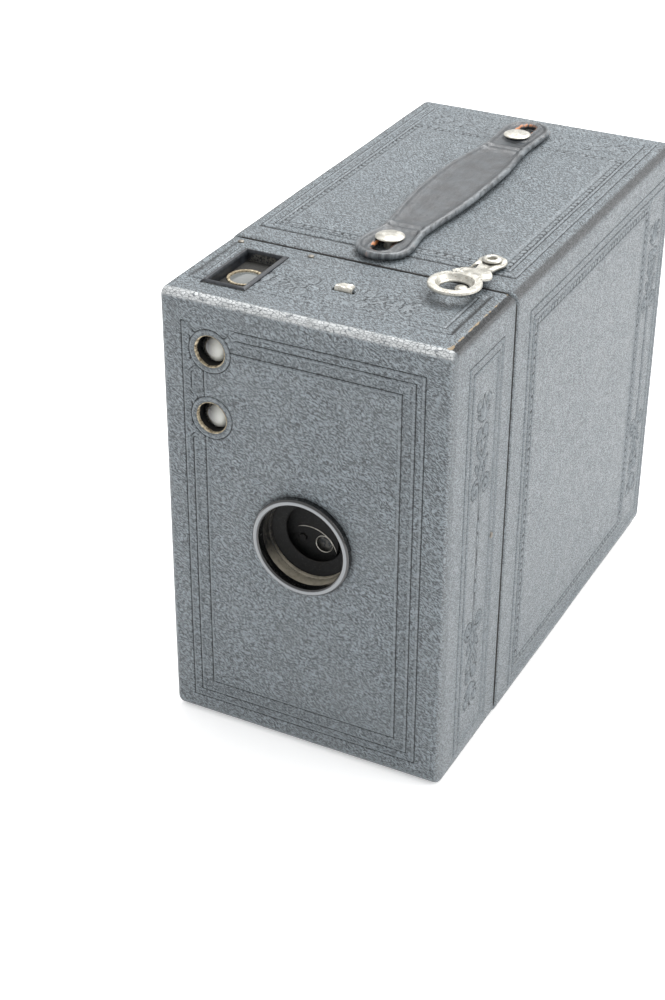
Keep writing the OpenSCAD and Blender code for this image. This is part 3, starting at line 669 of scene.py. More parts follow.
def slab(outline, holes, insets, spacing, top, bottom, place, rows=()):
    """A flat solid of any outline. top and bottom are functions (u, v, edge distance) that give
    its heights, insets are the rings of vertices along its edges, and rows are v positions that
    get a straight row of vertices."""
    loops = [outline if loop_area(outline) > 0 else outline[::-1]]
    loops += [hole if loop_area(hole) < 0 else hole[::-1] for hole in holes]
    constraints, points = [], []
    for loop in loops:
        start = len(points)
        points += list(loop)
        constraints += [(start + i, start + (i + 1) % len(loop)) for i in range(len(loop))]
    for loop in loops:
        along = np.roll(loop, -1, axis=0) - np.roll(loop, 1, axis=0)
        inward = np.column_stack([-along[:, 1], along[:, 0]])
        inward /= np.linalg.norm(inward, axis=1, keepdims=True)
        for inset in insets:
            ring = loop + inward * inset
            points += list(ring[edge_distance(ring, loops) > inset * 0.96 - 1e-6])
    low, high = outline.min(axis=0), outline.max(axis=0)
    us = np.arange(low[0] + spacing / 2, high[0], spacing)
    vs = np.arange(low[1] + spacing / 2, high[1], spacing)
    vs = np.array([v for v in vs if all(abs(v - row) > spacing * 0.4 for row in rows)] + list(rows))
    field = np.array([(u, v) for v in vs for u in us])
    room = edge_distance(field, loops) > max(insets) + spacing * 0.45
    points += list(field[room & inside(field, outline)])
    flat, _, triangles, *_ = delaunay_2d_cdt([Vector(p) for p in points], constraints, [], 0, 1e-5)
    flat = np.array([tuple(p) for p in flat])
    triangles = np.array(triangles)
    middles = flat[triangles].mean(axis=1)
    wanted = inside(middles, outline)
    for hole in holes:
        wanted &= ~inside(middles, hole)
    triangles = triangles[wanted]
    away = edge_distance(flat, loops)
    count = len(flat)
    upper = place(flat[:, 0], flat[:, 1], top(flat[:, 0], flat[:, 1], away))
    lower = place(flat[:, 0], flat[:, 1], bottom(flat[:, 0], flat[:, 1], away))
    a, b, c = (flat[triangles[:, i]] for i in range(3))
    turned_over = np.cross(b - a, c - a) < 0
    triangles[turned_over] = triangles[turned_over][:, ::-1]
    faces = [list(t) for t in triangles] + [[t[2] + count, t[1] + count, t[0] + count]
                                            for t in triangles]
    edges = {}
    for t in triangles:
        for i in range(3):
            edges[(t[i], t[(i + 1) % 3])] = True
    for a, b in edges:
        if (b, a) not in edges:
            faces.append([b, a, a + count, b + count])
    return np.concatenate([upper, lower]), faces


def rounded_edge(level, radius, away, sign=1):
    """Height of a flat face whose edges are rounded off."""
    short = radius - np.minimum(away, radius)
    return level - sign * (radius - np.sqrt(np.maximum(radius ** 2 - short ** 2, 0)))


def plate(outline, holes, insets, spacing, levels, edge_r, place, pattern=None):
    """A flat plate between two levels, (top, bottom), with rounded edges. pattern adds to the
    height of its top."""
    def top(u, v, away):
        height = rounded_edge(levels[0], edge_r, away)
        return height if pattern is None else height + pattern(u, v)

    def bottom(_u, _v, away):
        return rounded_edge(levels[1], edge_r, away, -1)

    return slab(outline, holes, insets, spacing, top, bottom, place)


def bar(outline, start, end, place):
    """A straight bar of a flat outline, from one height to another."""
    count = len(outline)
    faces = [list(range(count))[::-1], [count + i for i in range(count)]]
    faces += [[i, (i + 1) % count, (i + 1) % count + count, i + count] for i in range(count)]
    ends = [place(*outline.T, np.full(count, level)) for level in (start, end)]
    return np.concatenate(ends), faces


def in_place(u, v, w):
    """Placer that leaves points where they are."""
    return np.column_stack([u, v, w])


def outward(obj):
    """Makes every face of a closed solid look outwards."""
    mesh = bmesh.new()
    mesh.from_mesh(obj.data)
    bmesh.ops.remove_doubles(mesh, verts=mesh.verts, dist=1e-7)
    bmesh.ops.recalc_face_normals(mesh, faces=mesh.faces)
    mesh.to_mesh(obj.data)
    mesh.free()
    return obj


def solid(name, parts, material, sharp=35):
    """One object from (points, faces) parts, with its faces turned outwards. An edge sharper
    than the angle sharp, in degrees, isn't smoothed."""
    obj = outward(make_object(name, *joined(parts), material))
    obj.data.shade_smooth()
    obj.data.set_sharp_from_angle(angle=math.radians(sharp))
    return obj


def fit(obj, body, slot, *nodes):
    """obj rides on a body and stands for CAD nodes, which it hides. slot is not used."""
    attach(obj, body)
    if nodes:
        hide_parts(*nodes)
    return obj


# ---- materials ----

def tone(red, green, blue):
    """A display colour, 0 to 255, as linear light."""
    linear = []
    for value in (red, green, blue):
        share = value / 255
        linear.append(share / 12.92 if share <= 0.04045 else ((share + 0.055) / 1.055) ** 2.4)
    return (*linear, 1.0)


class Finish:
    """A Principled material, with short calls for the nodes that feed it."""

    def __init__(self, name, **sockets):
        self.material = bpy.data.materials.new(name)
        self.material.use_nodes = True
        self.tree = self.material.node_tree
        self.shader = self.tree.nodes["Principled BSDF"]
        for key, value in sockets.items():
            self.feed(self.shader.inputs[key.replace("_", " ")], value)

    def feed(self, socket, value):
        if isinstance(value, bpy.types.NodeSocket):
            self.tree.links.new(value, socket)
        else:
            socket.default_value = value

    def node(self, kind, inputs=None, **settings):
        made = self.tree.nodes.new("ShaderNode" + kind)
        for key, value in settings.items():
            setattr(made, key, value)
        for key, value in (inputs or {}).items():
            self.feed(made.inputs[key], value)
        return made

    def place_mm(self, scale=(1, 1, 1), turn=0.0):
        """Object coordinates in millimetres, stretched by scale."""
        coords = self.node("TexCoord").outputs["Object"]
        return self.mapped(coords, [1000 * s for s in scale], turn)

    def grain_mm(self):
        return self.node("UVMap", uv_map="grain").outputs[0]

    def mapped(self, vector, scale=(1, 1, 1), turn=0.0):
        return self.node("Mapping", {"Vector": vector, "Scale": scale,
                                     "Rotation": (0, 0, turn)}).outputs[0]

    def noise(self, vector, scale, detail=2.0, rough=0.5, distortion=0.0):
        return self.node("TexNoise", {"Vector": vector, "Scale": scale, "Detail": detail,
                                      "Roughness": rough, "Distortion": distortion}).outputs[0]

    def cells(self, vector, scale):
        """Distance to the nearest edge between cells."""
        return self.node("TexVoronoi", {"Vector": vector, "Scale": scale},
                         feature="DISTANCE_TO_EDGE").outputs["Distance"]

    def warped(self, vector, scale, amount):
        """Coordinates pushed about by noise, by up to about half of amount."""
        shift = self.node("TexNoise", {"Vector": vector, "Scale": scale, "Detail": 1.0}).outputs[1]
        centred = self.node("VectorMath", {0: shift, 1: (0.5, 0.5, 0.5)}, operation="SUBTRACT")
        return self.node("VectorMath", {0: centred.outputs[0], 1: (amount,) * 3, 2: vector},
                         operation="MULTIPLY_ADD").outputs[0]

    def calc(self, operation, a, b=0.0, c=0.0):
        return self.node("Math", {0: a, 1: b, 2: c}, operation=operation).outputs[0]

    def times(self, a, b):
        return self.calc("MULTIPLY", a, b)

    def remap(self, value, low, high, to_low=0.0, to_high=1.0):
        return self.node("MapRange", {"Value": value, "From Min": low, "From Max": high,
                                      "To Min": to_low, "To Max": to_high},
                         interpolation_type="SMOOTHSTEP").outputs[0]

    def mix(self, share, a, b):
        made = self.node("Mix", data_type="RGBA")
        for index, value in ((0, share), (6, a), (7, b)):
            self.feed(made.inputs[index], value)
        return made.outputs[2]

    def stored(self, name):
        return self.node("Attribute", attribute_name=name).outputs["Fac"]

    def pointed(self, low, high):
        """1 on sharp edges that stand out of the shape, 0 elsewhere."""
        return self.remap(self.node("NewGeometry").outputs["Pointiness"], low, high)

    def surface_normal(self, axis):
        """One part of the surface's own direction, by its axis letter."""
        normal = self.node("NewGeometry").outputs["Normal"]
        return self.node("SeparateXYZ", {"Vector": normal}).outputs[axis]

    def bump(self, height, depth_mm):
        return self.node("Bump", {"Height": height, "Distance": depth_mm * MM}).outputs[0]

    def finish(self, color, rough=None, normal=None):
        """Feeds what is given to the shader, and returns the material."""
        for key, value in (("Base Color", color), ("Roughness", rough), ("Normal", normal)):
            if value is not None:
                self.feed(self.shader.inputs[key], value)
        return self.material


def leather_cloth():
    """Black-grey pebbled leather cloth with short slanting ridges; its colour carries painted
    highlights on the front's crackled upper edge, the ridges and the sides, and painted shade in the
    grooves and the edges that run back.
    """
    look = Finish("leather_cloth", IOR=1.75, Specular_IOR_Level=0.5)
    flat = look.grain_mm()
    warp = look.warped(look.warped(flat, 0.2, 2.2), 1.3, 0.5)
    slanted = look.mapped(look.mapped(warp, turn=math.radians(30)), (0.75, 2.1, 1))
    stripes = look.remap(look.noise(slanted, 1.4, 1.2, 0.5, 0.2), 0.38, 0.62)
    pebble = look.remap(look.cells(slanted, 1.3), 0.0, 0.2)
    fine = look.noise(flat, 3.2, 2.0, 0.6)
    grain = look.calc("MULTIPLY_ADD", pebble, 0.3, look.times(stripes, 0.5))
    grain = look.calc("MULTIPLY_ADD", fine, 0.2, grain)
    plain = look.stored("plain")
    bend = look.stored("bend")
    cracked_highlight = look.calc("MAXIMUM", bend, 0.0)
    painted_edge_shade = look.calc("MAXIMUM", look.times(bend, -1.0), 0.0)
    kept = look.calc("SUBTRACT", 1.0, look.times(plain, 0.8))
    height = look.times(grain, kept)
    plates = look.cells(look.warped(flat, 0.8, 0.6), 0.85)
    crackle = look.remap(plates, 0.0, 0.08)
    folded = look.times(crackle, cracked_highlight)
    mottle = look.noise(look.place_mm(), 0.045, 4.0, 0.62)
    patches = look.noise(look.place_mm(), 0.35, 3.0, 0.6)
    # Grain tone from valley to ridge: the cloth's own colour plus painted shade in the grain's hollows
    # and painted highlights on its ridges.
    color = look.mix(look.remap(grain, 0.15, 0.85), tone(36, 42, 47), tone(120, 130, 136))
    # Painted sheen: faces that look sideways along X are painted lighter, standing in for the gloss
    # they reflect.
    across = look.surface_normal("X")
    sideways = look.remap(look.times(across, across), 0.3, 0.85, 0.0, 0.62)
    color = look.mix(sideways, color, tone(76, 83, 87))
    dusty = look.times(look.remap(mottle, 0.42, 0.72), 0.3)
    color = look.mix(dusty, color, tone(96, 102, 105))
    pressed = look.remap(look.stored("height"), -0.02, -0.2)
    # Painted shade: the pressed grooves are painted near black.
    color = look.mix(look.times(pressed, 0.9), color, tone(5, 6, 7))
    # Painted highlight: the smooth, grainless parts of the relief are painted lighter.
    color = look.mix(look.times(plain, 0.5), color, tone(92, 100, 105))
    # Painted highlight: the crackle along the front's upper edge is painted near white, broken up by
    # patches.
    rubbed_and_highlight = look.times(folded, look.remap(patches, 0.3, 0.6, 0.7, 1.0))
    color = look.mix(rubbed_and_highlight, color, tone(210, 213, 214))
    # Painted shade: the rounded edges that run back are painted near black.
    color = look.mix(look.times(painted_edge_shade, 0.85), color, tone(12, 13, 15))
    torn = look.calc("ADD", look.stored("bare"), look.remap(patches, 0.3, 0.7, -0.3, 0.3))
    color = look.mix(look.remap(torn, 0.45, 0.6), color, tone(140, 122, 94))
    rough = look.remap(grain, 0.2, 0.8, 0.6, 0.42)
    rough = look.calc("MULTIPLY_ADD", pressed, 0.35, rough)
    rough = look.calc("ADD", rough, look.remap(patches, 0.3, 0.7, -0.05, 0.06))
    total = look.calc("MULTIPLY_ADD", folded, 0.9, height)
    return look.finish(color, rough, look.bump(total, 0.24))


def dome_dust_and_painted_light():
    """A finder's lens dome, dusty: painted shade where it turns to the left, a painted bright
    reflection on the other side.
    """
    look = Finish("finder_dome", Specular_IOR_Level=0.5, Coat_Weight=0.7, Coat_Roughness=0.04)
    haze = look.noise(look.place_mm(), 0.8, 4.0, 0.65)
    # Painted light: dark to the left and bright to the right by the surface's direction, standing in
    # for the shade and the lit mirror seen through the glass.
    painted_light_side = look.remap(look.surface_normal("X"), -0.28, 0.42)
    color = look.mix(painted_light_side, tone(26, 27, 27), tone(178, 179, 173))
    color = look.mix(look.remap(haze, 0.5, 0.8, 0.0, 0.35), color, tone(132, 124, 106))
    rough = look.remap(haze, 0.3, 0.7, 0.08, 0.3)
    return look.finish(color, rough, look.bump(haze, 0.02))


def strap_leather():
    """Smooth handle leather, creased, with a lighter rim that is both worn and a painted highlight,
    and orange wear at the stud slots.
    """
    look = Finish("strap_leather", IOR=1.7, Specular_IOR_Level=0.5)
    flat = look.grain_mm()
    pores = look.cells(look.warped(flat, 0.7, 0.8), 1.7)
    creases = look.noise(look.mapped(flat, (1.0, 0.28, 1)), 0.9, 4.0, 0.65, 0.6)
    mottle = look.noise(flat, 0.22, 4.0, 0.6)
    color = look.mix(look.remap(mottle, 0.3, 0.75), tone(22, 26, 30), tone(50, 57, 62))
    edge = look.stored("edge")
    # Worn rim with a painted highlight: the rolled rim is painted lighter, broken up by the creases.
    rubbed_and_highlight = look.times(edge, look.remap(creases, 0.35, 0.65))
    color = look.mix(look.times(rubbed_and_highlight, 0.6), color, tone(136, 143, 147))
    bare = look.calc("ADD", look.stored("bare"), look.remap(creases, 0.3, 0.7, -0.3, 0.3))
    color = look.mix(look.remap(bare, 0.5, 0.75), color, tone(172, 108, 62))
    rough = look.remap(creases, 0.3, 0.7, 0.32, 0.48)
    height = look.calc("MULTIPLY_ADD", look.remap(pores, 0.0, 0.2), 0.3, creases)
    return look.finish(color, rough, look.bump(height, 0.07))


def board(name, light, dark):
    """Cardboard and strawboard: short fibres, soft stains."""
    look = Finish(name, Specular_IOR_Level=0.2)
    place = look.place_mm()
    fibres = look.noise(look.place_mm((1, 0.3, 1)), 1.6, 4.0, 0.65)
    stains = look.noise(place, 0.12, 3.0, 0.6)
    color = look.mix(look.remap(fibres, 0.3, 0.7), dark, light)
    color = look.mix(look.remap(stains, 0.5, 0.75, 0.0, 0.45), color, dark)
    rough = look.remap(fibres, 0.3, 0.7, 0.78, 0.92)
    return look.finish(color, rough, look.bump(fibres, 0.1))


def nickel():
    """Cream-grey nickel plate, dulled, with brown specks and fine scratches."""
    look = Finish("worn_nickel", Metallic=0.82)
    place = look.place_mm()
    clouds = look.noise(place, 0.5, 3.0, 0.6)
    specks = look.remap(look.noise(place, 2.6, 3.0, 0.65), 0.56, 0.66)
    scratches = look.noise(look.place_mm((0.5, 5, 2), 0.7), 1.4, 3.0, 0.6)
    color = look.mix(look.remap(clouds, 0.35, 0.65), tone(170, 168, 160), tone(200, 198, 190))
    color = look.mix(look.times(specks, 0.6), color, tone(116, 98, 72))
    rough = look.remap(clouds, 0.3, 0.7, 0.28, 0.42)
    rough = look.calc("ADD", rough, look.times(specks, 0.2))
    return look.finish(color, rough, look.bump(scratches, 0.02))


def enamel():
    """Gloss black enamel, with a painted grey reflection on the face that looks out towards the lens
    side.
    """
    look = Finish("black_enamel", Specular_IOR_Level=0.5, Coat_Weight=0.8, Coat_Roughness=0.05)
    place = look.place_mm()
    dust = look.noise(place, 0.9, 4.0, 0.7)
    color = look.mix(look.remap(dust, 0.55, 0.8, 0.0, 0.2), tone(8, 9, 10), tone(84, 82, 78))
    # Painted reflection: the face that looks out towards the lens side is painted grey.
    painted_face_reflection = look.remap(look.surface_normal("Y"), -0.82, -0.96)
    color = look.mix(look.times(painted_face_reflection, 0.62), color, tone(150, 154, 158))
    rough = look.remap(dust, 0.4, 0.7, 0.12, 0.3)
    return look.finish(color, rough, look.bump(look.noise(place, 0.35, 3.0), 0.05))


def dusty_black(name, base, dusty, share, settled):
    """Flat black paint under a film of brown-grey dust, thickest on the faces that look up."""
    look = Finish(name, Specular_IOR_Level=0.3)
    place = look.place_mm()
    dust = look.noise(place, 0.7, 5.0, 0.72)
    specks = look.remap(look.noise(place, 4.0, 2.0, 0.6), 0.6, 0.7)
    film = look.remap(dust, 0.4, 0.7, 0.0, share)
    lying = look.times(look.remap(look.surface_normal("Z"), 0.25, 0.9), settled)
    lying = look.times(lying, look.remap(dust, 0.25, 0.6, 0.5, 1.0))
    film = look.calc("MAXIMUM", film, lying)
    color = look.mix(film, base, dusty)
    color = look.mix(look.times(specks, 0.3), color, dusty)
    rough = look.remap(dust, 0.3, 0.7, 0.55, 0.85)
    return look.finish(color, rough, look.bump(dust, 0.06))


def blackened_metal():
    """Oxidised black sheet metal, bright along its worn edges."""
    look = Finish("blackened_metal", Metallic=0.35)
    place = look.place_mm()
    film = look.noise(place, 0.6, 4.0, 0.65)
    chips = look.noise(place, 1.5, 3.0, 0.6)
    color = look.mix(look.remap(film, 0.35, 0.7), tone(26, 28, 32), tone(46, 50, 55))
    worn = look.times(look.pointed(0.54, 0.62), look.remap(chips, 0.38, 0.55))
    color = look.mix(look.times(worn, 0.35), color, tone(150, 148, 140))
    rough = look.remap(film, 0.3, 0.7, 0.34, 0.5)
    return look.finish(color, rough, look.bump(chips, 0.03))


def bare_metal(name, light, dark, rough_low, rough_high):
    """Plain metal with tarnish and a drawn finish."""
    look = Finish(name, Metallic=0.95)
    place = look.place_mm()
    tarnish = look.noise(place, 0.3, 4.0, 0.65)
    drawn = look.noise(look.place_mm((4, 0.4, 4)), 1.2, 3.0, 0.6)
    color = look.mix(look.remap(tarnish, 0.4, 0.7), light, dark)
    rough = look.remap(tarnish, 0.3, 0.7, rough_low, rough_high)
    return look.finish(color, rough, look.bump(drawn, 0.015))


def glass(name, tint, weight, rough_high):
    """Old glass: a tinted, slightly dusty body under a clear gloss."""
    look = Finish(name, IOR=1.5, Transmission_Weight=weight, Coat_Weight=0.5, Coat_Roughness=0.05)
    place = look.place_mm()
    haze = look.noise(place, 0.5, 4.0, 0.65)
    rough = look.remap(haze, 0.45, 0.75, 0.03, rough_high)
    color = look.mix(look.remap(haze, 0.5, 0.8, 0.0, 0.5), tint, tone(150, 150, 146))
    return look.finish(color, rough, look.bump(haze, 0.01))


def mirror():
    """Old silvering, clouded by haze."""
    look = Finish("silvered_mirror", Metallic=0.9)
    place = look.place_mm()
    haze = look.noise(place, 0.35, 4.0, 0.7)
    color = look.mix(look.remap(haze, 0.45, 0.75), tone(205, 210, 213), tone(140, 142, 140))
    rough = look.remap(haze, 0.35, 0.75, 0.08, 0.32)
    return look.finish(color, rough, look.bump(haze, 0.008))


def wood():
    """Brown spool wood with fine rings."""
    look = Finish("spool_wood", Specular_IOR_Level=0.35)
    rings = look.noise(look.place_mm((0.06, 1, 1)), 1.3, 4.0, 0.6, 0.5)
    color = look.mix(look.remap(rings, 0.35, 0.65), tone(84, 52, 30), tone(128, 86, 52))
    rough = look.remap(rings, 0.3, 0.7, 0.5, 0.66)
    return look.finish(color, rough, look.bump(rings, 0.05))


CLOTH = leather_cloth()
STRAP = strap_leather()
RAW_CARD = board("raw_card", tone(206, 194, 168), tone(88, 76, 58))
BOARD = board("painted_board", tone(52, 50, 48), tone(30, 29, 28))
NICKEL = nickel()
ENAMEL = enamel()
WELL = dusty_black("dusty_well", tone(13, 14, 17), tone(170, 163, 147), 0.12, 0.9)
DARK = dusty_black("dull_black", tone(8, 9, 11), tone(88, 86, 80), 0.1, 0.2)
BLACKENED = blackened_metal()
BRASS = bare_metal("aged_brass", tone(196, 170, 112), tone(132, 106, 62), 0.28, 0.45)
STEEL = bare_metal("dull_steel", tone(138, 134, 127), tone(92, 87, 80), 0.36, 0.52)
FINDER_GLASS = glass("finder_glass", tone(128, 132, 131), 0.3, 0.1)
DOME_GLASS = dome_dust_and_painted_light()
LENS_GLASS = glass("lens_glass", tone(210, 218, 220), 0.9, 0.12)
RUBY = glass("ruby_glass", tone(150, 16, 10), 0.4, 0.2)
MIRROR = mirror()
WOOD = wood()


# ---- covering of the front section ----

FACE_BORDER = (-34.4, 33.2, 6.8, 122.9)
FACE_LINES = (0.0, 2.5, 6.2)
BEAD_INSET = 4.35
BEAD_PITCH = 3.5
PANEL_BORDER = (9.8, 29.9, 5.0, 122.5)
PANEL_LINES = (0.0, 2.6)
PANEL_MIDDLE_Z = 63.9
PANEL_SPRIG_D = 19.2
NOSE_TOP_BORDER = (-37.2, 35.4, 9.8, 33.6)
NOSE_TOP_LINES = (0.0, 2.6)
NOSE_MARGINS = np.array([2.2, 2.4, 3.0])
SEAM_X = 38.9
CIRCLE_R = 5.6
FINE = 0.44


def around(border, insets):
    """The places of a border's lines along u and along v."""
    u0, u1, v0, v1 = border
    return ([u0 + i for i in insets] + [u1 - i for i in insets],
            [v0 + i for i in insets] + [v1 - i for i in insets])


def face_relief(cloth):
    """Front: three lines, a row of beads, and a ring round each finder hole."""
    clear = np.ones_like(cloth.u)
    for z in FINDER_ZS:
        away = np.hypot(cloth.u - FINDER_X, cloth.v - z)
        clear *= fade(away, CIRCLE_R + 0.35, CIRCLE_R + 0.75)
        cloth.ridge(away - CIRCLE_R, half=0.2, high=0.14, deep=0.24)
        cloth.add(-0.16 * fade(away, 5.1, 4.5), fade(away, 5.0, 4.7))
    for inset in FACE_LINES:
        cloth.ridge(border_offset(cloth.u, cloth.v, FACE_BORDER, inset), where=clear)
    cloth.beads(FACE_BORDER, BEAD_INSET, BEAD_PITCH, where=clear)
    ring = np.hypot(cloth.u, cloth.v - LENS_Z) - 14.6
    cloth.add(-0.1 * np.exp(-((ring / 0.4) ** 2)), np.zeros_like(ring))


def panel_relief(cloth):
    """Side of the front section: a double line and two sprigs, tail to tail."""
    cloth.border(PANEL_BORDER, PANEL_LINES)
    for towards in (1, -1):
        cloth.strokes(sprig(PANEL_SPRIG_D, PANEL_MIDDLE_Z, towards, 1.14))


def nose_top_relief(cloth):
    """Top of the front section: worn lines, curls by the stop tab, and the bare seam."""
    worn = 0.6 + 0.4 * fade(np.abs(cloth.u), 20, 34)
    for inset in NOSE_TOP_LINES:
        offset = border_offset(cloth.u, cloth.v, NOSE_TOP_BORDER, inset)
        cloth.ridge(offset, high=0.16, where=worn)
    curls = turned_sprig(8.0, 18.0, 1, 0.62) + turned_sprig(-7.5, 18.0, -1, 0.62)
    cloth.strokes(curls, high=0.04, deep=0.22)
    seam = cloth.u - SEAM_X
    behind = fade(cloth.v, 1.0, 3.0)
    cloth.add(-0.3 * fade(seam, -0.1, 0.25) * fade(seam, 3.0, 1.0) * behind, np.zeros_like(seam))
    cloth.bare += 0.62 * np.exp(-((seam / 0.3) ** 2)) * behind
    corner = np.hypot(cloth.u - 38.6, cloth.v - 2.2)
    cloth.bare += 0.8 * np.exp(-((corner / 0.9) ** 2))
    left_corner = np.hypot(cloth.u + 40.6, cloth.v - 36.6)
    cloth.bare += 0.8 * np.exp(-((left_corner / 0.9) ** 2))


def no_relief(_):
    """Plain cloth, with nothing pressed into it."""


def front_bend(flat):
    """The front section's box, with rounded edges all but at its back."""
    return rounded_box(flat, FRONT_LOW, FRONT_HIGH, NOSE_MARGINS, np.array([False, False, False]),
                       np.array([False, True, False]))


def window_gap(frame_centre, across):
    """The opening under a finder window's frame: (u0, u1, v0, v1), with depth along v."""
    half_w, half_l = WINDOW_SIZE[0] / 2 + 1.0, WINDOW_SIZE[1] / 2 + 1.0
    d = frame_centre[1]
    return across - half_w, across + half_w, d - half_l, d + half_l


def cover_front():
    """The cloth of the front section: face, two sides, top and bottom."""
    x0, d0, z0 = FRONT_LOW
    x1, d1, z1 = FRONT_HIGH
    face_xs, face_zs = around(FACE_BORDER, FACE_LINES)
    panel_ds, _ = around(PANEL_BORDER, PANEL_LINES)
    _, top_ds = around(NOSE_TOP_BORDER, NOSE_TOP_LINES)
    top_gap = window_gap(TOP_FINDER, TOP_FINDER[0])
    side_gap = window_gap(SIDE_FINDER, SIDE_FINDER[2])
    tab_d = span("stop_slide")[0][1]
    tab_gap = (TAB_LEFT - 0.7, TAB_RIGHT + 0.7, tab_d - 0.3, tab_d + 1.2)
    lever_d, lever_z = span("shutter_lever")[0][1], centre_of("shutter_disc")[2]
    lever_gap = (lever_d - 0.4, lever_d + 1.0, lever_z - 7, lever_z + 7)
    slide_z = centre_of("time_slide")[2]
    slide_gap = (12.4, 13.8, slide_z - 2.4, slide_z + 2.4)
    xs = grid_lines(x0, x1, 0.9, [(-34, 31.4, FINE)], face_xs, (SEAM_X - 0.4, SEAM_X, SEAM_X + 0.4,
                    *top_gap[:2], *tab_gap[:2]), NOSE_MARGINS[0], NOSE_MARGINS[0])
    zs = grid_lines(z0, z1, 0.9, [(9, 121.5, FINE)], face_zs, (*side_gap[:2], *lever_gap[2:],
                    *slide_gap[2:]), NOSE_MARGINS[2], NOSE_MARGINS[2])
    ds = grid_lines(d0, d1, 0.9, [(11.6, 28.2, FINE)], panel_ds + top_ds[2:],
                    (*top_gap[2:], *tab_gap[2:], *lever_gap[:2], *slide_gap[:2]), NOSE_MARGINS[1], 0)
    sheet = Sheet(front_bend, cracked_highlight=1.0)
    ring_radii = [CIRCLE_R + s for s in (0.95, 0.78, 0.62, 0.46, 0.3, 0.12, -0.12, -0.3, -0.46, -0.62)]
    ring_radii += [4.8, 4.65, 4.55, FINDER_HOLE_R]
    holes = [RoundHole(FINDER_X, z, ring_radii, 7.4) for z in FINDER_ZS]
    holes.append(RoundHole(0.0, LENS_Z, [15.6, 15.1, 14.8, 14.5, 14.2, 13.6], 17.0))
    sheet.block(xs, zs, *face_maps(), face_relief, 0, holes)
    panel_gaps = [(side_gap[2], side_gap[3], side_gap[0], side_gap[1]), lever_gap, slide_gap]
    sheet.block(ds, zs, *wall_maps(x0, -1), panel_relief, 1, gaps=panel_gaps)
    sheet.block(ds, zs, *wall_maps(x1, 1), panel_relief, 1)
    sheet.block(xs, ds, *level_maps(z1, 1), nose_top_relief, 1, gaps=[top_gap, tab_gap])
    sheet.block(xs, ds, *level_maps(z0, -1), no_relief, 2)
    names = ("front_face_cloth", "front_wrap_cloth", "front_base_cloth")
    nodes = ("front_face_sheet", "front_wrap", "front_base_sheet")
    for piece, node in zip(sheet.pieces(CLOTH, names), nodes):
        fit(piece, "front_section", "case_leather", node)


# ---- covering of the rear case ----

SIDE_BORDER = (47.3, 156.0, 5.0, 122.6)
SIDE_LINES = (0.0, 2.6)
SIDE_PLAIN = (52.9, 136.5, 12.0, 116.5)
SIDE_SPRIG_D = 146.5
TOP_BORDER = (-36.8, 36.8, 46.9, 154.3)
TOP_LINES = (0.0, 2.9)
TOP_PLAIN = (-31.0, 31.0, 52.9, 135.0)
TOP_SPRIG_D = 145.2
BAND_INSIDE = 3.0
CHAIN_INSET = -1.5
CHAIN_PITCH = 2.3
TUBE_MARGINS = np.array([3.2, 1.0, 3.6])
MOUTH_R, MOUTH_TURN = 1.3, 3.0
TAIL_R, TAIL_TURN = 1.2, 4.2
BACK_STEP = 0.4


def chain_band(cloth, plain):
    """The chain round the plain middle of a panel, with the fine line inside it."""
    cloth.ridge(border_offset(cloth.u, cloth.v, plain), half=0.22, high=0.14)
    cloth.chain(plain, CHAIN_INSET, CHAIN_PITCH)


def rear_side_relief(cloth):
    """Side of the rear case: double line, chain, and a band with two sprigs at the back."""
    cloth.border(SIDE_BORDER, SIDE_LINES)
    chain_band(cloth, SIDE_PLAIN)
    inner = (SIDE_BORDER[2] + 2.6, SIDE_BORDER[3] - 2.6)
    within = fade(cloth.v, inner[0], inner[0] + 0.2) * fade(cloth.v, inner[1], inner[1] - 0.2)
    cloth.ridge(cloth.u - (SIDE_PLAIN[1] + BAND_INSIDE), half=0.25, high=0.16, where=within)
    for towards in (1, -1):
        cloth.strokes(sprig(SIDE_SPRIG_D, PANEL_MIDDLE_Z, towards, 1.12))


def rear_top_relief(cloth):
    """Top of the rear case: the same scheme, worn, with short sprigs at the ends of the band."""
    cloth.border(TOP_BORDER, TOP_LINES, high=0.16)
    chain_band(cloth, TOP_PLAIN)
    inner = TOP_BORDER[1] - 2.9
    within = fade(np.abs(cloth.u), inner, inner - 0.2)
    cloth.ridge(cloth.v - (TOP_PLAIN[3] + 4.1), half=0.25, high=0.14, where=within)
    for towards in (1, -1):
        cloth.strokes(turned_sprig(towards * 9.0, TOP_SPRIG_D, towards, 0.9), high=0.18, deep=0.2)


def turn_in(along):
    """Depth, inset and tilt for a length measured along the case wall and round both its ends."""
    d0, d1 = REAR_LOW[1], BACK_D - BACK_STEP
    depth = np.clip(along, d0 + MOUTH_R, d1 - TAIL_R).astype(float)
    inset = np.zeros_like(depth)
    tilt = np.zeros_like(depth)
    for radius, end, sign in ((MOUTH_R, d0, -1), (TAIL_R, d1, 1)):
        past = sign * (along - (end - sign * radius))
        bent = past > 0
        angle = np.clip(past / radius, 0, math.pi / 2)
        straight = np.clip(past - radius * math.pi / 2, 0, None)
        depth = np.where(bent, end - sign * radius * (1 - np.sin(angle)), depth)
        inset = np.where(bent, radius * (1 - np.cos(angle)) + straight, inset)
        tilt = np.where(bent, sign * angle, tilt)
    return depth, inset, tilt


def rear_bend(flat):
    """The case's box, open at both ends, where the cloth is turned in."""
    depth, inset, tilt = turn_in(flat[:, 1])
    box_point = np.column_stack([flat[:, 0], depth, flat[:, 2]])
    no_ends = np.array([False, True, False])
    base, normal = rounded_box(box_point, REAR_LOW, np.array([REAR_HIGH[0], BACK_D, REAR_HIGH[2]]),
                               TUBE_MARGINS, no_ends, no_ends)
    base = base - normal * inset[:, None]
    turned_normal = normal * np.cos(tilt)[:, None]
    turned_normal[:, 1] += np.sin(tilt)
    return base, turned_normal


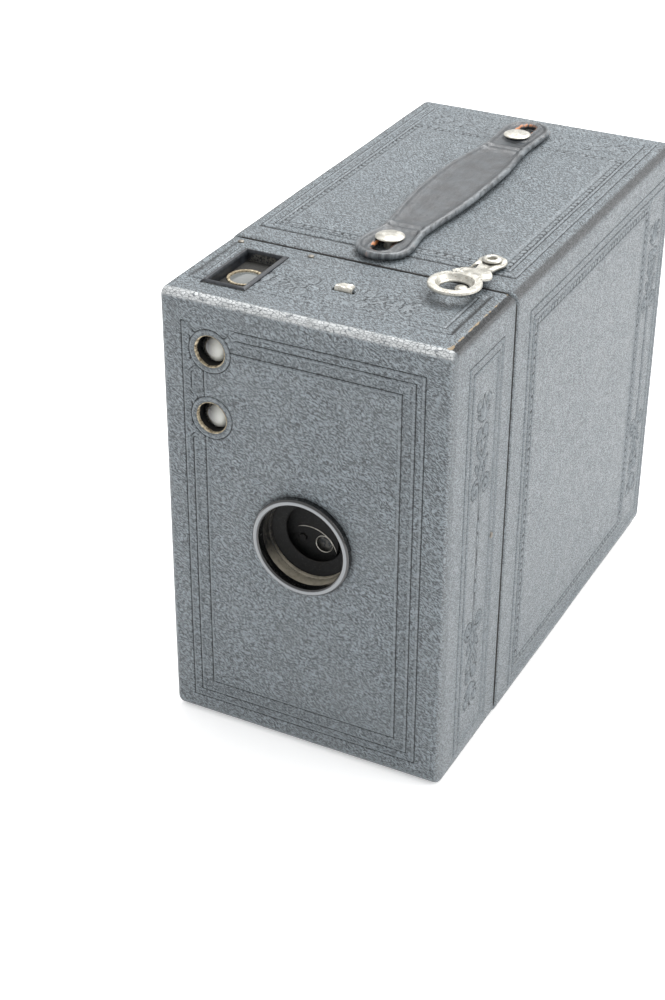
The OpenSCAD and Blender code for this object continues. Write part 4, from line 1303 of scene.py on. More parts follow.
def rear_depth_lines(ridges, cuts):
    """Depth lines of the rear case, with the turned-in ends measured along the cloth."""
    d0, d1 = REAR_LOW[1], BACK_D - BACK_STEP
    quarter = math.pi / 2
    mouth = [d0 + MOUTH_R - MOUTH_R * quarter * k / 5 for k in range(1, 6)]
    mouth.append(mouth[-1] - (MOUTH_TURN - MOUTH_R))
    tail = [d1 - TAIL_R + TAIL_R * quarter * k / 4 for k in range(1, 5)]
    tail.append(tail[-1] + (TAIL_TURN - TAIL_R))
    straight = grid_lines(d0 + MOUTH_R, d1 - TAIL_R, 2.2,
                          [(49.5, 152, 0.55)], ridges, cuts)
    return np.concatenate([sorted(mouth), straight, tail])


def cover_rear():
    """The cloth of the rear case: a wrap over three sides, turned in at the mouth and the back,
    with a base sheet, and the back's own sheet laid over the turned edges."""
    x0, _, z0 = REAR_LOW
    x1, _, z1 = REAR_HIGH
    side_ds, side_zs = around(SIDE_BORDER, SIDE_LINES)
    top_xs, _ = around(TOP_BORDER, TOP_LINES)
    ds = rear_depth_lines(side_ds, (SIDE_PLAIN[0], SIDE_PLAIN[1], SIDE_PLAIN[1] + BAND_INSIDE))
    zs = grid_lines(z0, z1, 2.0, [(9.2, 119.4, 0.5)], side_zs, (), TUBE_MARGINS[2], TUBE_MARGINS[2])
    xs = grid_lines(x0, x1, 2.0, [(-34, 34, 0.55)], top_xs, (), TUBE_MARGINS[0], TUBE_MARGINS[0])
    base_xs = np.array([x0] + [x for x in xs if x0 < x <= x0 + TUBE_MARGINS[0] + 3])
    sheet = Sheet(rear_bend)
    key_gap = (KEY_D - KEY_GAP, KEY_D + KEY_GAP, KEY_Z - KEY_GAP, KEY_Z + KEY_GAP)
    sheet.block(ds, zs, *wall_maps(x0, -1), rear_side_relief, 0, gaps=[key_gap])
    sheet.block(ds, zs, *wall_maps(x1, 1), rear_side_relief, 0)
    sheet.block(xs, ds, *level_maps(z1, 1), rear_top_relief, 1)
    for strip in (base_xs, -base_xs[::-1]):
        sheet.block(strip, ds, *level_maps(z0, -1), no_relief, 0)
    sides, top = sheet.pieces(CLOTH, ("rear_side_cloth", "rear_top_cloth"))
    fit(sides, "rear_case", "case_leather", "rear_wrap")
    fit(top, "rear_case", "case_leather")
    cover_base()
    cover_back()


def flat_sheet(name, us, vs, place, relief, thickness, holes=()):
    """A flat panel of cloth with a rolled edge."""
    low, high = np.array([us[0], 0, vs[0]]), np.array([us[-1], thickness, vs[-1]])
    margins = np.array([0.5, thickness, 0.5])

    def bend(flat):
        points, normals = rounded_box(flat, low, high, margins, np.array([False] * 3),
                                      np.array([False, True, False]))
        turned_normals = place(*normals.T) - place(*np.zeros((3, len(flat))))
        return place(*points.T), turned_normals

    sheet = Sheet(bend)
    sheet.block(us, vs, *face_maps(), relief, 0, holes)
    return sheet.pieces(CLOTH, (name,))[0]


SHEET_T = 0.5
BASE_SHEET = (-37.8, 37.8, 39.6, 156.4)
BACK_SHEET = (-39.5, 39.5, 2.5, 129.5)
BACK_BORDER = (-34.0, 34.0, 9.0, 123.0)
BACK_LINES = (0.0, 2.6, 6.2)
BACK_CHAIN_INSET = 4.4
RUBY_Z = centre_of("ruby_window_ring")[2]


def cover_base():
    """The sheet under the rear case, over the ends of the wrap."""
    us = grid_lines(*BASE_SHEET[:2], 3.0, low_fan=SHEET_T, high_fan=SHEET_T)
    vs = grid_lines(*BASE_SHEET[2:], 3.0, low_fan=SHEET_T, high_fan=SHEET_T)

    def place(u, w, v):
        return np.column_stack([u, v, 0.02 + w])

    base = flat_sheet("rear_base_cloth", us, vs, place, no_relief, SHEET_T)
    fit(base, "rear_case", "case_leather", "rear_base_sheet")


def back_relief(cloth):
    """Back: three lines and a chain between them."""
    cloth.border(BACK_BORDER, BACK_LINES)
    cloth.chain(BACK_BORDER, BACK_CHAIN_INSET, CHAIN_PITCH)


def cover_back():
    """The back's sheet, with an embossed border and a hole for the ruby window."""
    border_us, border_vs = around(BACK_BORDER, BACK_LINES)
    fine_us = [(-31, -28, 0.5), (28, 31, 0.5), (-8, 8, 1.0)]
    fine_vs = [(12, 15, 0.5), (117, 120, 0.5), (75, 93, 1.0)]
    us = grid_lines(*BACK_SHEET[:2], 2.0, fine_us, border_us, (), SHEET_T, SHEET_T)
    vs = grid_lines(*BACK_SHEET[2:], 2.0, fine_vs, border_vs, (), SHEET_T, SHEET_T)

    def place(u, w, v):
        return np.column_stack([u, BACK_D - w, v])

    hole = RoundHole(0.0, RUBY_Z, [9.4, 8.8, 8.4, 8.0, 7.5], 10.5)
    back = flat_sheet("back_cloth", us, vs, place, back_relief, SHEET_T, [hole])
    fit(back, "rear_case", "case_leather", "back_sheet")


# ---- carrying handle ----

STRAP_EDGE = ((50, 7.4), (57, 6.4), (64, 6.8), (76, 8.2), (86, 8.9), (94, 9.0), (104, 8.9),
              (114, 8.2), (124, 7.0), (129, 6.7), (137, 7.0))
STRAP_ENDS = ((46.3, 7.8), (143.3, 7.2))
STRAP_CUTS = (75.0, 114.0)
STRAP_SLOTS = ((43.5, 49.8), (135.7, 145.0))
SLOT_HALF = 2.2
STRAP_BARS = (57.6, 60.6, 124.6, 127.6)
STRAP_BOW = 0.55


def strap_outline():
    """Half-round ends joined by the two waisted edges."""
    (front_d, front_r), (rear_d, rear_r) = STRAP_ENDS
    right = [(w, d) for d, w in STRAP_EDGE]
    front = [tuple(p) for p in circle(0, front_d, front_r, 9, 180, 202.5)]
    rear = [tuple(p) for p in circle(0, rear_d, rear_r, 9, 0, 202.5)]
    left = [(-w, d) for d, w in reversed(STRAP_EDGE)]
    return smooth_loop(front + right + rear + left, 0.55)


def stadium(d0, d1, half, steps=10):
    """A slot along depth with round ends."""
    count, turn = steps + 1, 180 * (steps + 1) / steps
    ends = [circle(0, d0, half, count, 180, turn), circle(0, d1, half, count, 0, turn)]
    return subdivided(np.concatenate(ends), 1.0)


def strap_bow(d):
    """How far the strap stands up between its studs."""
    return STRAP_BOW * np.sin(np.clip((d - 52) / (134 - 52), 0, 1) * math.pi) ** 2


def strap_top(u, v, away):
    """A rolled rim round a sunk middle, with two bars across near each stud."""
    middle = fade(v, 61.5, 64) * fade(v, 123.5, 121)
    sunk = 0.6 * fade(away, 1.2, 2.0) + 0.2 * fade(away, 2.6, 3.1) * middle
    bars = sum(0.5 * np.exp(-(((v - d) / 0.6) ** 2)) for d in STRAP_BARS) * fade(away, 0.9, 1.8)
    creases = sum(0.05 * np.exp(-(((v - d - 0.12 * u) / 0.35) ** 2)) for d in (66, 70, 117, 120))
    waves = 0.03 * np.sin(v * 0.55 + 0.6 * np.sin(u * 0.9)) + 0.03 * np.sin(u * 2.4 + v * 0.1)
    return rounded_edge(STRAP_TOP, 0.9, away) - sunk + bars - creases + waves + strap_bow(v)


def strap_bottom(_, v, away):
    """The strap's flat underside."""
    return rounded_edge(STRAP_LOW, 0.6, away, -1) + strap_bow(v) + 0.04


def cut_mesh(points, faces, low, high):
    """The faces whose middle depth lies between low and high."""
    kept = [face for face in faces if low <= np.mean([points[i][1] for i in face]) < high]
    used = sorted({i for face in kept for i in face})
    local = {old: new for new, old in enumerate(used)}
    return used, [[local[i] for i in face] for face in kept]


def make_strap():
    """One leather strap in three lengths; the two end lengths stand for the CAD handle pieces."""
    outline = strap_outline()
    slots = [stadium(d0, d1, SLOT_HALF) for d0, d1 in STRAP_SLOTS]
    insets = (0.12, 0.3, 0.55, 0.85, 1.2, 1.5, 1.8, 2.2)
    whole = make_object("strap_whole", *slab(outline, slots, insets, 0.85, strap_top, strap_bottom,
                                             facing_up(0, 0), STRAP_CUTS), STRAP)
    outward(whole)
    shading = np.array([tuple(v.normal) for v in whole.data.vertices])
    points = np.array([tuple(v.co) for v in whole.data.vertices])
    points = (points - [0.0, LENS_SIDE_M, 0.0]) / MM
    faces = [list(p.vertices) for p in whole.data.polygons]
    bpy.data.objects.remove(whole)
    flat = points[:, :2]
    slot_gap = edge_distance(flat, slots)
    edge_gap = edge_distance(flat, [outline])
    edge = fade(edge_gap, 1.5, 0.3)
    bare = fade(slot_gap, 1.5, 0.2) * 0.66 * fade(points[:, 2], STRAP_LOW + 0.6, STRAP_LOW + 1.1)
    bare = bare + 0.33 * fade(edge_gap, 1.2, 0.1) * fade(np.abs(flat[:, 1] - 93), 34, 46)
    lengths = (("strap_front_length", -1, STRAP_CUTS[0], "rear_case", "strap_front", 50, 62,
                ("handle_end_front", "handle_front")),
               ("strap_middle_length", *STRAP_CUTS, "strap_front", "strap_rear", 88, 101, ()),
               ("strap_rear_length", STRAP_CUTS[1], 999, "strap_rear", "strap_tail", 127, 139,
                ("handle_rear", "handle_end_rear")))
    for name, low, high, body_a, body_b, start, end, nodes in lengths:
        used, local = cut_mesh(points, faces, low, high)
        corner_grain = np.concatenate([flat[used][np.array(face)] for face in local])
        data = {"edge": edge[used], "bare": bare[used]}
        length = make_object(name, points[used], local, STRAP, corner_grain, data, shading[used])
        if nodes:
            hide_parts(*nodes)
        at = [tuple(in_row([(0, d, STRAP_LOW)])[0]) for d in (start, end)]
        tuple(at[0])
        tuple(at[1])
        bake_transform(length)


# ---- studs, latch and the other nickel pieces ----

def dome_profile(radius, base, height, under, neck, foot):
    """Half section of a domed stud, from its middle out to its rim and down its neck."""
    crown = [(radius * math.sin(a), base + height * math.cos(a))
             for a in np.linspace(0.0, math.pi / 2, 9)]
    return [(0.0, base + height)] + crown[1:] + [(radius - 0.25, base - under),
                                                 (neck, base - under), (neck, foot), (0.0, foot)]


def make_studs():
    """Two domed studs that hold the strap."""
    profile = dome_profile(STUD_HEAD_R, STUD_HIGH[2] - 0.62, 0.62, 0.25, 1.6, NECK_FOOT_Z)
    parts = [turned(profile, facing_up(0, d), 64, closed=False) for d in STUD_DS]
    fit(solid("strap_studs", parts, NICKEL), "rear_case", "nickel", "handle_studs")


LATCH = span("latch")
LATCH_PIVOT = centre_of("latch_rivet")
LATCH_RING_R = 7.0
LATCH_RING = np.array([LATCH_PIVOT[0] - 1.7, LATCH_PIVOT[1] - 19.8])
LATCH_HOLE_R = 3.9
LATCH_HIGH = LATCH[1][2]
LATCH_LOW = LATCH_HIGH - 1.5


def latch_outline():
    """An eye on the rivet, a waist, two shoulders and the finger ring."""
    eye_x, eye_d = LATCH_PIVOT[:2]
    right = [(3.1, -2.7), (2.5, -5.2), (2.7, -7.6), (4.0, -9.6), (5.0, -11.6), (4.9, -13.2)]
    left = [(-3.9, -13.4), (-5.4, -12.9), (-5.7, -11.7), (-4.2, -9.8), (-2.3, -7.6), (-2.2, -5.0),
            (-3.0, -2.6)]
    eye = [tuple(p) for p in circle(eye_x, eye_d, 4.0, 9, -22, 250)]
    ring = [tuple(p) for p in circle(*LATCH_RING, LATCH_RING_R, 26, 112, 304)]
    points = eye + [(eye_x + u, eye_d + v) for u, v in left] + ring
    points += [(eye_x + u, eye_d + v) for u, v in reversed(right)]
    return smooth_loop(points, 0.5)


def latch_level(v):
    """Underlying height of the latch, which steps up from its eye to its ring."""
    return LATCH_LOW + (LATCH_HIGH - LATCH_LOW) * fade(v, LATCH_PIVOT[1] - 5, LATCH_PIVOT[1] - 9.5)


def latch_form(u, v):
    """Height of the pressed ring above the flat of the arm: a knurled crown and a dished hole."""
    away = np.hypot(u - LATCH_RING[0], v - LATCH_RING[1])
    angle = np.arctan2(v - LATCH_RING[1], u - LATCH_RING[0])
    crown = 0.34 * fade(away, 7.6, 7.2) * fade(away, 4.3, 4.9)
    dish = -0.95 * fade(away, 5.0, 4.1)
    knurl = 0.07 * np.sin(angle * 56) * fade(away, 6.1, 6.5)
    return crown + dish + knurl


def make_latch():
    """The latch plate, pressed from one sheet."""
    outline = latch_outline()
    holes = [circle(*LATCH_PIVOT[:2], 1.75, 28), circle(*LATCH_RING, LATCH_HOLE_R, 112)]

    def top(u, v, away):
        return rounded_edge(latch_level(v), 0.28, away) + latch_form(u, v)

    def bottom(u, v, away):
        return latch_level(v) - 0.95 + latch_form(u, v) * 0.8 + 0.28 - 0.28 * fade(away, 0, 0.3)

    arm = slab(outline, holes, (0.1, 0.22, 0.4, 0.7, 1.1, 1.6), 0.5, top, bottom, facing_up(0, 0))
    fit(solid("latch_arm_plate", [arm], NICKEL, 50), "latch_arm", "nickel", "latch")


def make_rivet():
    """A tubular rivet: a rolled rim round a hollow."""
    top = LATCH[0][2] + 1.95
    profile = soft_profile([(1.15, NECK_FOOT_Z), (1.15, top - 0.15), (1.5, top + 0.1), (2.3, top),
                            (2.7, top - 0.45), (2.55, top - 0.65), (1.6, top - 0.65),
                            (1.6, NECK_FOOT_Z)], 0.25)
    x, d = LATCH_PIVOT[:2]
    parts = [turned(profile, facing_up(x, d), 56)]
    parts.append(turned([(0, top - 1.1), (1.16, top - 1.1), (1.16, top - 1.6), (0, top - 1.6)],
                        facing_up(x, d), 32, closed=False))
    fit(solid("latch_rivet_eyelet", parts, NICKEL), "rear_case", "nickel", "latch_rivet")


def make_latch_stud():
    """The button that the latch's ring drops over."""
    x, d = centre_of("latch_stud")[:2]
    high = span("latch_stud")[1][2]
    profile = [(0.0, high), (0.9, high - 0.05), (1.5, high - 0.28), (1.75, high - 0.6),
               (1.6, high - 0.85), (1.3, high - 0.95), (1.25, high - 1.75), (1.0, high - 1.9),
               (1.0, 128.0), (0.0, 128.0)]
    fit(solid("latch_stud_button", [turned(profile, facing_up(x, d), 48, closed=False)], NICKEL),
        "front_section", "nickel", "latch_stud")


def make_nails():
    """Four round-headed nails that hold the cloth to the boards."""
    profile = [(0.0, 0.34), (0.45, 0.29), (0.8, 0.15), (0.92, -0.4), (0.4, -0.42), (0.4, -1.8),
               (0.0, -1.8)]
    parts = []
    nail_d = FRONT_HIGH[1] - 2.6
    for x in (-36.5, -15.5):
        parts.append(turned(profile, facing_up(x, nail_d, FRONT_HIGH[2]), 28, closed=False))
    parts.append(turned(profile, facing_left(28, LENS_Z, FRONT_LOW[0]), 28, closed=False))
    parts.append(turned(profile, facing_right(28, LENS_Z, FRONT_HIGH[0]), 28, closed=False))
    fit(solid("cloth_nails", parts, STEEL), "front_section", "steel", "front_nails")


def bent_strip(path):
    """Placer for a strip bent along a path of (depth, z): v runs along it, w is its thickness."""
    path = np.array(path, float)
    steps = np.diff(path, axis=0)
    lengths = np.concatenate([[0], np.cumsum(np.linalg.norm(steps, axis=1))])
    unit = steps / np.linalg.norm(steps, axis=1, keepdims=True)
    side = np.column_stack([unit[:, 1], -unit[:, 0]])
    side_at = np.vstack([side[:1], (side[1:] + side[:-1]) / 2, side[-1:]])
    side_at /= np.linalg.norm(side_at, axis=1, keepdims=True)

    def place(u, v, w):
        d = np.interp(v, lengths, path[:, 0]) + np.interp(v, lengths, side_at[:, 0]) * w
        z = np.interp(v, lengths, path[:, 1]) + np.interp(v, lengths, side_at[:, 1]) * w
        return np.column_stack([u, d, z])

    return place, lengths[-1]


def make_stop_slide():
    """The strip with three stops, folded over at the top as a pull tab."""
    low, high = span("stop_slide")
    fold_r = 0.75
    top_z = FRONT_HIGH[2] + 0.75
    bend = [(low[1] + fold_r * (1 - math.cos(a)), top_z - fold_r * (1 - math.sin(a)))
            for a in np.linspace(0, math.pi / 2, 7)]
    path = [(low[1], low[2])] + [(low[1], z) for z in np.linspace(low[2] + 2, top_z - 1.5, 40)]
    path += bend + [(high[1], top_z)]
    along_path, length = bent_strip(path)
    neck = 104.0 - low[2]
    half, tab_0, tab_1 = 5.0, TAB_LEFT, TAB_RIGHT
    outline = smooth_loop([(-half, 0.6), (-half + 0.6, 0), (half - 0.6, 0), (half, 0.6),
                           (half, neck - 0.8), (half - 0.8, neck), (tab_1 + 0.1, neck + 0.2),
                           (tab_1, neck + 1.2), (tab_1, length - 0.8), (tab_1 - 0.7, length),
                           (tab_0 + 0.7, length), (tab_0, length - 0.8), (tab_0, neck + 1.2),
                           (tab_0 - 0.1, neck + 0.2), (-half + 0.8, neck), (-half, neck - 0.8)], 1.0)
    holes = [circle(0, LENS_Z - 8 * i - low[2], 2.4 * 0.7 ** i, 32) for i in range(3)]

    def place(u, v, w):
        return along_path(u, v, -w)

    def hatch(u, v):
        return 0.06 * np.sin((u + v) * 8.0) * fade(v, length - 3.4, length - 2.8)

    strip = plate(outline, holes, (0.1, 0.25), 0.6, (0.0, -0.6), 0.15, place, hatch)
    fit(solid("stop_slide_strip", [strip], NICKEL, 45), "stops", "nickel", "stop_slide")


# ---- lens ring, mask and shutter ----

def make_lens_parts():
    """The gloss ring, the tube behind it, and the dished mask."""
    front = facing_front(0, LENS_Z)
    ring = soft_profile([(12.4, 1.35), (12.95, 1.8), (13.75, 1.8), (14.35, 1.25), (14.35, -0.6),
                         (13.1, -0.6), (13.1, -1.2), (12.4, -1.2)], 0.28, 4)
    fit(solid("lens_ring_rim", [turned(ring, front, 128)], ENAMEL, 50), "front_section",
        "black_enamel", "lens_ring")
    tube = soft_profile([(12.42, -1.1), (12.42, -5.35), (13.05, -5.35), (13.05, -1.1)], 0.12, 2)
    bead = soft_profile([(12.1, -4.6), (12.45, -4.2), (12.45, -5.3), (11.95, -5.3)], 0.15, 2)
    fit(solid("lens_well", [turned(tube, front, 96), turned(bead, front, 96)], WELL),
        "front_section", "black_enamel")
    mask = soft_profile([(13.05, -5.4), (13.05, -6.0), (8.7, -7.15), (8.35, -6.95), (8.6, -6.55),
                         (11.8, -5.4)], 0.2, 3)
    fit(solid("lens_mask_cone", [turned(mask, front, 96)], DARK), "front_section",
        "black_enamel", "lens_mask")


def tube_along(path, radius, place, sides=8):
    """A thin rod along a flat path of (u, v), raised to w = radius."""
    path = np.array(path, float)
    along = np.gradient(path, axis=0)
    along /= np.linalg.norm(along, axis=1, keepdims=True)
    across = np.column_stack([-along[:, 1], along[:, 0]])
    rings = []
    for i in range(len(path)):
        taper = math.sin(math.pi * min(1, (i + 0.5) / 3, (len(path) - i - 0.5) / 3) / 2)
        for k in range(sides):
            angle = 2 * math.pi * k / sides
            flat = path[i] + across[i] * radius * taper * math.cos(angle)
            rings.append((*flat, radius * taper * math.sin(angle)))
    rings = np.array(rings)
    faces = []
    for i in range(len(path) - 1):
        for k in range(sides):
            j = (k + 1) % sides
            faces.append([i * sides + k, i * sides + j, (i + 1) * sides + j, (i + 1) * sides + k])
    faces += [list(range(sides)), [(len(path) - 1) * sides + k for k in range(sides)][::-1]]
    return place(*rings.T), faces


def make_shutter():
    """The turning disc with its port's bright rim and the curved bead beside it."""
    x, _, z = centre_of("shutter_disc")
    angle = math.radians(-5)
    port = (6.2 * math.cos(angle), 6.2 * math.sin(angle))
    place = facing_front(x, z, span("shutter_disc")[0][1])
    holes = [circle(*port, 2.35, 40), circle(0, 0, PIN_HOLE_R, 20)]
    disc = plate(circle(0, 0, 10.4, 96), holes, (0.12, 0.3), 0.9, (0.0, -0.4), 0.12, place)
    disc = solid("shutter_disc_plate", [disc], DARK)
    fit(disc, "rotary_shutter", "black_enamel", "shutter_disc")
    rim = circle(*port, 2.45, 41, 0, 368)
    arc = circle(-3.0 - x, 57.4 - z, 8.4, 26, 14, 104)
    rods = [tube_along(rim, 0.17, place), tube_along(arc, 0.15, place)]
    bright = solid("shutter_rims", rods, NICKEL)
    fit(bright, "rotary_shutter", "nickel")


# ---- finders ----

def mitred(width, height, step):
    """A rectangle about the origin, and directions that carry a section round it with mitres."""
    loop, outward_at = [], []
    for su, sv in ((1, -1), (1, 1), (-1, 1), (-1, -1)):
        loop.append((su * width / 2, sv * height / 2))
        outward_at.append((su, sv))
    path, directions = [], []
    for i in range(4):
        start, end = np.array(loop[i]), np.array(loop[(i + 1) % 4])
        side = (np.array(outward_at[i]) + np.array(outward_at[(i + 1) % 4])) / 2
        count = math.ceil(np.linalg.norm(end - start) / step)
        path.append(start)
        directions.append(outward_at[i])
        for k in range(1, count):
            path.append(start + (end - start) * k / count)
            directions.append(side)
    return np.array(path, float), np.array(directions, float)


def window_frame(name, place, node):
    """A bevelled metal frame with mitred corners, and its sleeve down into the finder box."""
    path, directions = mitred(*WINDOW_SIZE, 3.0)
    section = soft_profile([(0.0, -3.0), (0.0, -0.3), (0.3, 0.4), (0.6, 0.5), (1.4, 0.12),
                            (1.5, 0.0), (1.5, -0.5), (0.5, -0.5), (0.5, -3.0)], 0.06, 1)
    frame_obj = solid(name, [swept(section, path, directions, place)], BLACKENED, 25)
    fit(frame_obj, "front_section", "blackened_metal", node)


def eye_plate(name, place):
    """The dark plate a little below a finder window, with a card ring round its glass."""
    outline = rounded_rect(WINDOW_SIZE[0] + 0.2, WINDOW_SIZE[1] + 0.2, 0.3, 2, 1.5)
    hole = circle(0, 0, FINDER_EYE_R - 0.1, 48)
    levels = (-FINDER_PLATE_DEEP, -FINDER_PLATE_DEEP - 0.5)
    sheet = plate(outline, [hole], (0.12, 0.3), 1.2, levels, 0.1, place)
    fit(solid(name + "_plate", [sheet], DARK), "front_section", "blackened_metal")
    rim = soft_profile([(FINDER_EYE_R - 0.75, -0.15), (FINDER_EYE_R - 0.6, 0.25),
                        (FINDER_EYE_R + 0.05, 0.3), (FINDER_EYE_R + 0.15, 0.0),
                        (FINDER_EYE_R - 0.1, -0.2), (FINDER_EYE_R - 0.2, -0.6)], 0.1, 2)
    rim = [(out, up - FINDER_PLATE_DEEP) for out, up in rim]
    fit(solid(name + "_card_ring", [turned(rim, place, 64)], RAW_CARD, 50), "front_section",
        "case_board")
    pane = [(0.0, 0.1), (2.0, 0.06), (3.4, -0.04), (4.2, -0.16), (4.2, -0.6), (0.0, -0.6)]
    pane = [(out, up - FINDER_PLATE_DEEP) for out, up in pane]
    fit(solid(name + "_glass", [turned(pane, place, 64, closed=False)], FINDER_GLASS),
        "front_section", "clear_glass")


def make_finders():
    """Both finders: windows, eye plates, lens domes, and the holes in the face."""
    top, side = TOP_FINDER, SIDE_FINDER
    upright = facing_up(top[0], top[1], FRONT_HIGH[2])
    left = facing_left(side[1], side[2], FRONT_LOW[0])

    def sideways(u, v, w):
        return left(v, u, w)

    window_frame("top_window_frame", upright, "top_finder_frame")
    window_frame("side_window_frame", sideways, "side_finder_frame")
    eye_plate("top_eye", upright)
    eye_plate("side_eye", sideways)
    domes, rims, walls = [], [], []
    for i, z in enumerate(FINDER_ZS):
        front = facing_front(FINDER_X, z)
        dome = [(0.0, -1.3)] + [(4.15 * math.sin(a), -1.3 - 2.9 * (1 - math.cos(a)))
                                for a in np.linspace(0.15, math.pi / 2, 12)]
        dome += [(4.15, -5.2), (0.0, -5.2)]
        domes.append(turned(dome, front, 64, closed=False))
        rims.append(ragged_rim(front, i))
        wall = soft_profile([(4.5, -1.0), (4.5, -5.2), (4.1, -5.2), (4.22, -1.3)], 0.12, 2)
        walls.append(turned(wall, front, 64))
    fit(solid("finder_lens_domes", domes, DOME_GLASS), "front_section", "clear_glass",
        "finder_lenses")
    fit(solid("finder_hole_card", rims, RAW_CARD, 60), "front_section", "case_board")
    fit(solid("finder_hole_walls", walls, DARK, 60), "front_section", "case_board")


def ragged_rim(place, seed):
    """The torn card edge round a finder hole: a ring whose inner edge wanders."""
    section = soft_profile([(4.5, -0.34), (4.55, -1.4), (4.22, -1.4), (4.16, -0.9), (4.25, -0.5)],
                           0.1, 3)
    points, faces = turned(section, in_place, 120)
    angle = np.arctan2(points[:, 1], points[:, 0])
    torn = sum(np.sin(angle * n + seed * 2.1 + n * 1.7) / n ** 0.6 for n in (2, 5, 9, 16, 27, 41))
    radius = np.hypot(points[:, 0], points[:, 1])
    inner = fade(radius, 4.5, 4.3)
    scale = 1 + 0.026 * torn * inner
    points = points * np.column_stack([scale, scale, np.ones_like(scale)])
    points[:, 2] += 0.08 * torn * inner
    return place(*points.T), faces


# ---- key, lever, time slide and ruby window ----

def make_key():
    """The winding key: a flat wing with two holes on a round shaft."""
    low, high = span("winding_key")
    wing_len, wing_half = 12.5, 9.0
    middle_x = low[0] + wing_len / 2
    side = facing_front(middle_x, KEY_Z, KEY_D)
    outline = rounded_rect(wing_len, 2 * wing_half, 5.6, 10, 0.7)
    holes = [circle(0, s * 4.6, 2.0, 32) for s in (-1, 1)]
    wing = plate(outline, holes, (0.12, 0.3, 0.6), 0.9, (0.8, -0.8), 0.35, side)
    shaft = soft_profile([(0.0, -1.0), (2.3, -1.0), (2.3, 6.2), (1.5, 7.2), (2.3, 8.2), (2.3, 8.5),
                          (0.0, 8.5)], 0.3, 3, closed=False)
    start_x = low[0] + wing_len

    def turn(u, v, w):
        return np.column_stack([start_x + w, KEY_D + u, KEY_Z + v])

    blade = soft_profile([(0.5, -2.2), (0.5, 2.2), (-0.5, 2.2), (-0.5, -2.2)], 0.12, 2)
    parts = [wing, turned(shaft, turn, 48, closed=False),
             bar(np.array(blade), 8.4, high[0] - start_x, turn)]
    fit(solid("winding_key_wing", parts, NICKEL, 40), "key", "nickel", "winding_key")


def make_key_bearings():
    """The key's knurled sleeve, and the bush in the case's side."""
    left = facing_left(KEY_D, KEY_Z, REAR_LOW[0])
    collar = soft_profile([(2.36, 2.0), (5.4, 2.0), (6.0, 1.75), (6.0, 1.15), (4.0, 1.15),
                           (4.0, -3.6), (2.36, -3.6)], 0.18, 3)
    fit(solid("key_collar_turned", [knurled(collar, left, 5.7, 36)], NICKEL, 50), "key_sleeve",
        "nickel", "key_collar")
    bush = soft_profile([(4.05, 0.8), (7.4, 0.8), (8.0, 0.45), (8.0, -0.5), (6.0, -0.5), (6.0, -3.5),
                         (4.05, -3.5)], 0.2, 3)
    fit(solid("key_bush_plate", [turned(bush, left, 80)], BRASS, 50), "rear_case", "brass",
        "key_bush")


def knurled(profile, place, beyond, teeth):
    """A turned part whose rim is cut with fine teeth."""
    points, faces = turned(profile, in_place, teeth * 6)
    radius = np.hypot(points[:, 0], points[:, 1])
    angle = np.arctan2(points[:, 1], points[:, 0])
    rim = fade(radius, beyond, beyond + 0.2)
    scale = np.minimum(1 + 0.022 * np.cos(angle * teeth) * rim, 1.0) - 0.01 * rim
    points = points * np.column_stack([scale, scale, np.ones_like(scale)])
    return place(*points.T), faces


LEVER_PIVOT_X = -24.0


def make_lever():
    """The shutter's release lever, out through the slot in the left side."""
    low_d, pivot_z = span("shutter_lever")[0][1], centre_of("shutter_disc")[2]
    tilt = math.radians(-14)
    reach, tail, half, eye = 20.4, 7.8, 1.5, 2.6
    upper = [(tail, half - 0.4), (tail - 0.6, half), (3.2, half), (1.6, 2.1), (0, eye),
             (-1.6, 2.1), (-3.2, half), (-reach + 3.4, half), (-reach + 1.6, 2.1), (-reach, eye),
             (-reach - 1.9, 1.8)]
    lower = [(u, -v) for u, v in reversed(upper[1:])]
    outline = smooth_loop([(tail, -half + 0.4)] + upper + [(-reach - eye, 0)] + lower, 0.7)

    def place(u, v, w):
        x = LEVER_PIVOT_X + u * math.cos(tilt) + v * math.sin(tilt)
        z = pivot_z - u * math.sin(tilt) + v * math.cos(tilt)
        return np.column_stack([x, low_d - w, z])

    def grip(u, v):
        return 0.06 * np.sin(u * 6.5) * fade(np.hypot(u + reach, v), 2.4, 1.8)

    hole = circle(0, 0, PIN_HOLE_R, 24)
    arm = plate(outline, [hole], (0.1, 0.25), 0.55, (0.0, -0.6), 0.15, place, grip)
    fit(solid("release_lever_arm", [arm], NICKEL, 45), "release_lever", "nickel", "shutter_lever")


def make_time_slide():
    """The time slide: a strip through the side with a turned-up tab."""
    low, high = span("time_slide")
    middle_z = (low[2] + high[2]) / 2
    strip = rounded_rect(high[0] - low[0] - 0.3, 4.0, 0.6, 4, 1.2)
    middle_x = (low[0] + 0.3 + high[0]) / 2
    flat = facing_front(middle_x, middle_z, low[1] + 1.5)
    blade = plate(strip, [], (0.12, 0.3), 0.9, (0.0, -0.6), 0.15, flat)
    tab = rounded_rect(high[1] - low[1], 4.0, 0.7, 4, 0.8)
    side = facing_left((low[1] + high[1]) / 2, middle_z, low[0] + 0.6)

    def ribs(u, _):
        return 0.08 * np.sin(u * 7.0)

    grip = plate(tab, [], (0.12, 0.3), 0.5, (0.5, 0.0), 0.15, side, ribs)
    fit(solid("time_slide_strip", [blade, grip], NICKEL, 45), "time_stop", "nickel", "time_slide")


